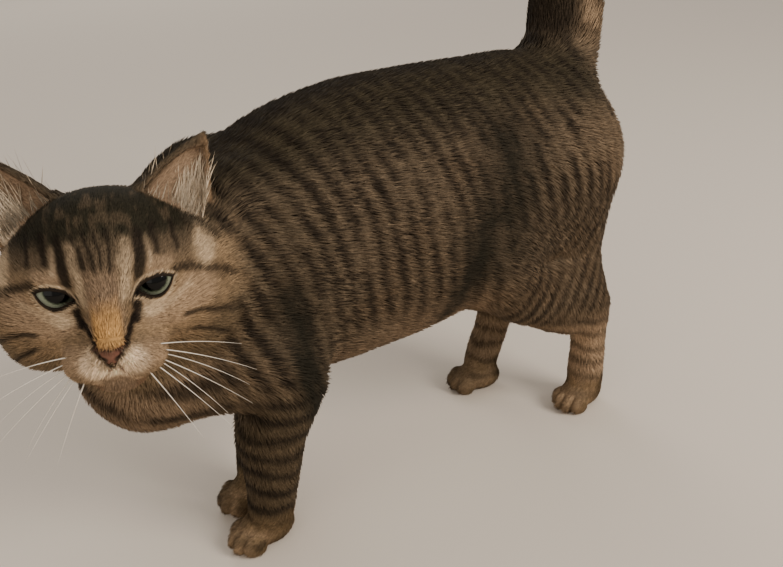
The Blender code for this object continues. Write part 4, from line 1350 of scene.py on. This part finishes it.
def grow(name, roots, normals, spots, ways, depth, length, width, random, colour=None):
    """Tufts at the roots, laid along their ways and rising to the outside of the coat."""
    count = len(roots)
    swirl = 0.20 * value_noise(roots, 16, 31) + 0.12 * random.standard_normal(count).clip(-2, 2)
    sideways = np.cross(normals, ways)
    ways = ways * np.cos(swirl)[:, None] + sideways * np.sin(swirl)[:, None]
    sideways = np.cross(normals, ways)
    sideways /= np.maximum(np.linalg.norm(sideways, axis=1), 1e-6)[:, None]
    length = length * (1 + LENGTH_SPREAD * (2 * random.random(count) - 1))
    width = width * (1 + WIDTH_SPREAD * (2 * random.random(count) - 1))
    height = depth * (0.95 + HEIGHT_SPREAD * (2 * random.random(count) - 1))
    points = np.empty((count, 4, 3))
    shading = np.empty((count, 4, 3))
    middle = roots + TUFT_MIDDLE * length[:, None] * ways + TUFT_RISE * height[:, None] * normals
    points[:, 0] = roots - TUFT_ROOT * width[:, None] * normals
    points[:, 1] = middle + 0.5 * width[:, None] * sideways
    points[:, 2] = middle - 0.5 * width[:, None] * sideways
    points[:, 3] = roots + length[:, None] * ways + height[:, None] * normals
    points[:, :, 2] = np.maximum(points[:, :, 2], SOLE)
    shading[:, 0] = normals
    shading[:, 1] = normals + 0.45 * sideways
    shading[:, 2] = normals - 0.45 * sideways
    shading[:, 3] = normals + 0.3 * ways
    shading /= np.linalg.norm(shading, axis=2)[:, :, None]
    if colour is None:
        colours = tuft_colours(points, normals, random)
    else:
        colours = np.array(colour) * (0.8 + 0.3 * random.random((count, 1, 1))) * np.ones((1, 4, 1))
    return tuft_mesh(name, points, shading, colours, spots)


def new_material(name):
    material = bpy.data.materials.new(name)
    material.use_nodes = True
    return material, material.node_tree, material.node_tree.nodes["Principled BSDF"]


def set_inputs(tree, node, inputs):
    """Sets each input to its value, or links it to another node's output."""
    for name, value in inputs.items():
        if isinstance(value, bpy.types.NodeSocket):
            tree.links.new(value, node.inputs[name])
        else:
            node.inputs[name].default_value = value


def add_node(tree, kind, inputs, **settings):
    """Adds a shader node and gives its outputs."""
    node = tree.nodes.new("ShaderNode" + kind)
    for name, value in settings.items():
        setattr(node, name, value)
    set_inputs(tree, node, inputs)
    return node.outputs


def add_ramp(tree, factor, stops):
    """Colour ramp from the first stop to the last; gives its colour output."""
    node = tree.nodes.new("ShaderNodeValToRGB")
    elements = node.color_ramp.elements
    for element, (at, colour) in zip(elements, (stops[0], stops[-1])):
        element.position = at
        element.color = (*colour, 1)
    for at, colour in stops[1:-1]:
        elements.new(at).color = (*colour, 1)
    set_inputs(tree, node, {"Fac": factor})
    return node.outputs["Color"]


def fur_material():
    """Coat colours from the markings, with hair-fine streaks of noise."""
    material, tree, shader = new_material("coat")
    tint = add_node(tree, "Attribute", {}, attribute_name="Coat")
    spot = add_node(tree, "TexCoord", {})
    grain = add_node(tree, "TexNoise", {"Vector": spot["Object"], "Scale": FUR_GRAIN, "Detail": 3})["Fac"]
    spread = {"From Min": 0.3, "From Max": 0.7, "To Min": 0.8, "To Max": 1.2}
    factor = add_node(tree, "MapRange", {"Value": grain, **spread})
    mix = add_node(tree, "VectorMath", {0: tint["Color"], "Scale": factor["Result"]}, operation="SCALE")
    bump = add_node(tree, "Bump", {"Strength": 0.25, "Distance": 0.0004, "Height": grain})
    set_inputs(tree, shader, {
        "Roughness": 0.75,
        "Specular IOR Level": 0.10,
        "Base Color": mix["Vector"],
        "Normal": bump["Normal"],
    })
    return material


def unwrap_skin(piece):
    """Unwraps the skin by its own shape."""
    piece.data.uv_layers.new(name="OFBake")
    for other in bpy.context.scene.objects:
        other.select_set(False)
    piece.select_set(True)
    bpy.context.view_layer.objects.active = piece
    bpy.ops.object.mode_set(mode="EDIT")
    bpy.ops.mesh.select_all(action="SELECT")
    bpy.ops.uv.smart_project(angle_limit=math.radians(66), island_margin=0.001)
    bpy.ops.object.mode_set(mode="OBJECT")


def colour_skin(piece):
    _, _, points, normals = triangle_arrays(piece.data)
    add_tint(piece.data, SKIN_SHADE * markings(points, normals))
    piece.data.materials.append(COAT_MATERIAL)


def make_eye(side_name):
    """Eyeball with a bulging cornea, whose own up axis points where the cat looks."""
    name = "eyeball_" + side_name
    shape = bmesh.new()
    bmesh.ops.create_uvsphere(shape, u_segments=64, v_segments=48, radius=EYE_RADIUS * MM)
    for vert in shape.verts:
        height = vert.co.z / (EYE_RADIUS * MM)
        vert.co *= 1 + CORNEA_BULGE * float(rise(np.array(height), CORNEA_EDGE, 1.0))
    mesh = bpy.data.meshes.new(name)
    shape.to_mesh(mesh)
    shape.free()
    mesh.shade_smooth()
    eye = add_object(name, mesh)
    centre = from_head([np.array(EYE_CENTRE) * (-SIDES[side_name], 1, 1)])[0]
    eye.location = Vector(place(centre)) * MM
    gaze = np.array(EYE_GAZES[side_name]) @ head_axes()
    eye.rotation_euler = Vector(gaze).to_track_quat("Z", "Y").to_euler()
    material, tree, shader = new_material(name)
    mesh.materials.append(material)
    spot = add_node(tree, "TexCoord", {})["Object"]
    parts = add_node(tree, "SeparateXYZ", {"Vector": spot})
    flat = add_node(tree, "CombineXYZ", {"X": parts["X"], "Y": parts["Y"]})
    reach = add_node(tree, "VectorMath", {0: flat["Vector"]}, operation="LENGTH")
    share = add_node(tree, "Math", {0: reach["Value"], 1: EYE_RADIUS * MM}, operation="DIVIDE")
    fibres = add_node(tree, "TexNoise", {"Vector": spot, "Scale": IRIS_GRAIN, "Detail": 4})
    waver = add_node(tree, "Math", {0: fibres["Fac"], 1: 0.10, 2: share["Value"]}, operation="MULTIPLY_ADD")
    set_inputs(tree, shader, {
        "Roughness": 0.12,
        "Specular IOR Level": 0.15,
        "Coat Weight": 0.12,
        "Coat Roughness": 0.03,
        "Base Color": add_ramp(tree, waver["Value"], EYE_STOPS),
    })
    return eye


def ring(middle, across, above, wide, high, sides):
    """Points around an oval, from its middle and two directions."""
    angles = 2 * math.pi * np.arange(sides) / sides
    return [middle + wide * math.cos(a) * across + high * math.sin(a) * above for a in angles]


def tube_faces(first, steps, sides):
    """Faces of a closed tube of rings that starts at the given point."""
    last = first + (steps - 1) * sides
    faces = [tuple(range(first, first + sides)), tuple(range(last, last + sides))]
    for near in range(first, last, sides):
        for j in range(sides):
            k = (j + 1) % sides
            faces.append((near + j, near + k, near + sides + k, near + sides + j))
    return faces


def whisker(start, way, length, droop):
    """Points of a tapered hair that leaves the skin and bends down along its length, in the head's axes."""
    way = np.array(way, float) / np.linalg.norm(way)
    share = np.linspace(0, 1, WHISKER_STEPS)
    path = np.array(start, float) + length * (share[:, None] * way)
    path[:, 1] -= droop * length * share ** 2
    path = from_head(path)
    along = np.gradient(path, axis=0)
    along /= np.linalg.norm(along, axis=1)[:, None]
    across = np.cross(along, (0, 0, 1))
    across /= np.linalg.norm(across, axis=1)[:, None]
    above = np.cross(across, along)
    points = []
    for i in range(WHISKER_STEPS):
        thick = WHISKER_RADIUS * (1 - 0.85 * share[i])
        points += ring(path[i], across[i], above[i], thick, thick, WHISKER_SIDES)
    return points


def make_whiskers():
    points = []
    faces = []
    for mirror in MIRRORS:
        for start, way, length, droop in WHISKERS:
            faces += tube_faces(len(points), WHISKER_STEPS, WHISKER_SIDES)
            points += whisker(np.array(start) * mirror, np.array(way) * mirror, length, droop)
    return shell_object("whiskers", points, faces, *WHISKER_COLOURS, 0.4)


def make_claws():
    """Tips of the drawn-in claws, one at the front of each toe."""
    points = []
    faces = []
    for name, (x, y, turn, size) in PAWS.items():
        side = SIDES[name.split("_")[1]]
        angle = math.radians(-side * turn)
        ahead = np.array((-math.cos(angle), -math.sin(angle), 0))
        across = np.array((-math.sin(angle), math.cos(angle), 0))
        base = np.array((x, side * y, 0.0))
        for toe in TOES:
            faces += tube_faces(len(points), CLAW_STEPS, CLAW_SIDES)
            for share in np.linspace(0, 1, CLAW_STEPS):
                reach = toe[0] + TOE_RADII[0] - CLAW_DEPTH + CLAW_LENGTH * share
                height = CLAW_HEIGHT - CLAW_DROOP * share ** 2
                middle = base + size * (reach * ahead + toe[1] * across) + (0, 0, size * height)
                thick = size * CLAW_RADIUS * (1 - 0.92 * share)
                points += ring(middle, across, np.array((0, 0, 1)), CLAW_FLATNESS * thick, thick, CLAW_SIDES)
    return shell_object("claws", points, faces, *CLAW_COLOURS, 0.35)


def shell_object(name, points, faces, dark, light, roughness):
    """Closed mesh with a horn or hair material that varies between two shades."""
    mesh = bpy.data.meshes.new(name)
    mesh.from_pydata((place(points) * MM).tolist(), [], faces)
    edit_mesh(mesh, lambda shape: bmesh.ops.recalc_face_normals(shape, faces=shape.faces))
    mesh.shade_smooth()
    material, tree, shader = new_material(name)
    mesh.materials.append(material)
    spot = add_node(tree, "TexCoord", {})
    grain = add_node(tree, "TexNoise", {"Vector": spot["Object"], "Scale": SHELL_GRAIN})
    shade = add_ramp(tree, grain["Fac"], ((0, dark), (1, light)))
    set_inputs(tree, shader, {"Roughness": roughness, "Base Color": shade})
    return add_object(name, mesh)


def make_camera():
    """The photograph's camera."""
    data = bpy.data.cameras.new("camera")
    data.sensor_width = SENSOR_WIDTH
    data.lens = LENS
    camera = add_object("camera", data)
    azimuth, pitch, roll = (math.radians(angle) for angle in CAMERA_ANGLES)
    flat = math.cos(pitch)
    forward = np.array((math.sin(azimuth) * flat, math.cos(azimuth) * flat, -math.sin(pitch)))
    right = np.array((math.cos(azimuth), -math.sin(azimuth), 0))
    up = np.cross(right, forward)
    across = right * math.cos(roll) + up * math.sin(roll)
    above = up * math.cos(roll) - right * math.sin(roll)
    turn = Matrix(np.stack([across, above, -forward], 1).tolist()).to_4x4()
    camera.matrix_world = Matrix.Translation(Vector(place(CAMERA_PLACE)) * MM) @ turn
    bpy.context.scene.camera = camera


def make_studio():
    """Plain floor, soft lamps and pale surroundings."""
    mesh = bpy.data.meshes.new("floor")
    edit_mesh(mesh, lambda shape: bmesh.ops.create_grid(shape, x_segments=2, y_segments=2, size=FLOOR_SIZE))
    floor = add_object("floor", mesh)
    material, tree, shader = new_material("floor")
    mesh.materials.append(material)
    set_inputs(tree, shader, {"Base Color": FLOOR_COLOUR, "Roughness": 0.8})
    for name, at, target, size, power, colour in LAMPS:
        data = bpy.data.lights.new(name, "AREA")
        data.size = size
        data.energy = power
        data.color = colour
        light = add_object(name, data)
        light.location = at
        light.rotation_euler = (Vector(target) - Vector(at)).to_track_quat("-Z", "Y").to_euler()
    world = bpy.data.worlds.new("studio")
    world.use_nodes = True
    back = world.node_tree.nodes["Background"]
    set_inputs(world.node_tree, back, {"Color": WORLD_COLOUR, "Strength": WORLD_LIGHT})
    bpy.context.scene.world = world


COAT_MATERIAL = fur_material()
skin_piece = make_skin()
unwrap_skin(skin_piece)
colour_skin(skin_piece)
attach(skin_piece, "root")
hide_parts(*(name for name in frame["nodes"] if not name.startswith("eye")))
for tufts in make_coat(skin_piece):
    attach(tufts, "root")
ear_hair = make_ear_hair(skin_piece)
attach(ear_hair, "root")
for side_name in SIDES:
    eyeball = make_eye(side_name)
    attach(eyeball, "root")
    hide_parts("eye_" + side_name)
claws = make_claws()
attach(claws, "root")
whiskers = make_whiskers()
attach(whiskers, "root")
make_camera()
make_studio()
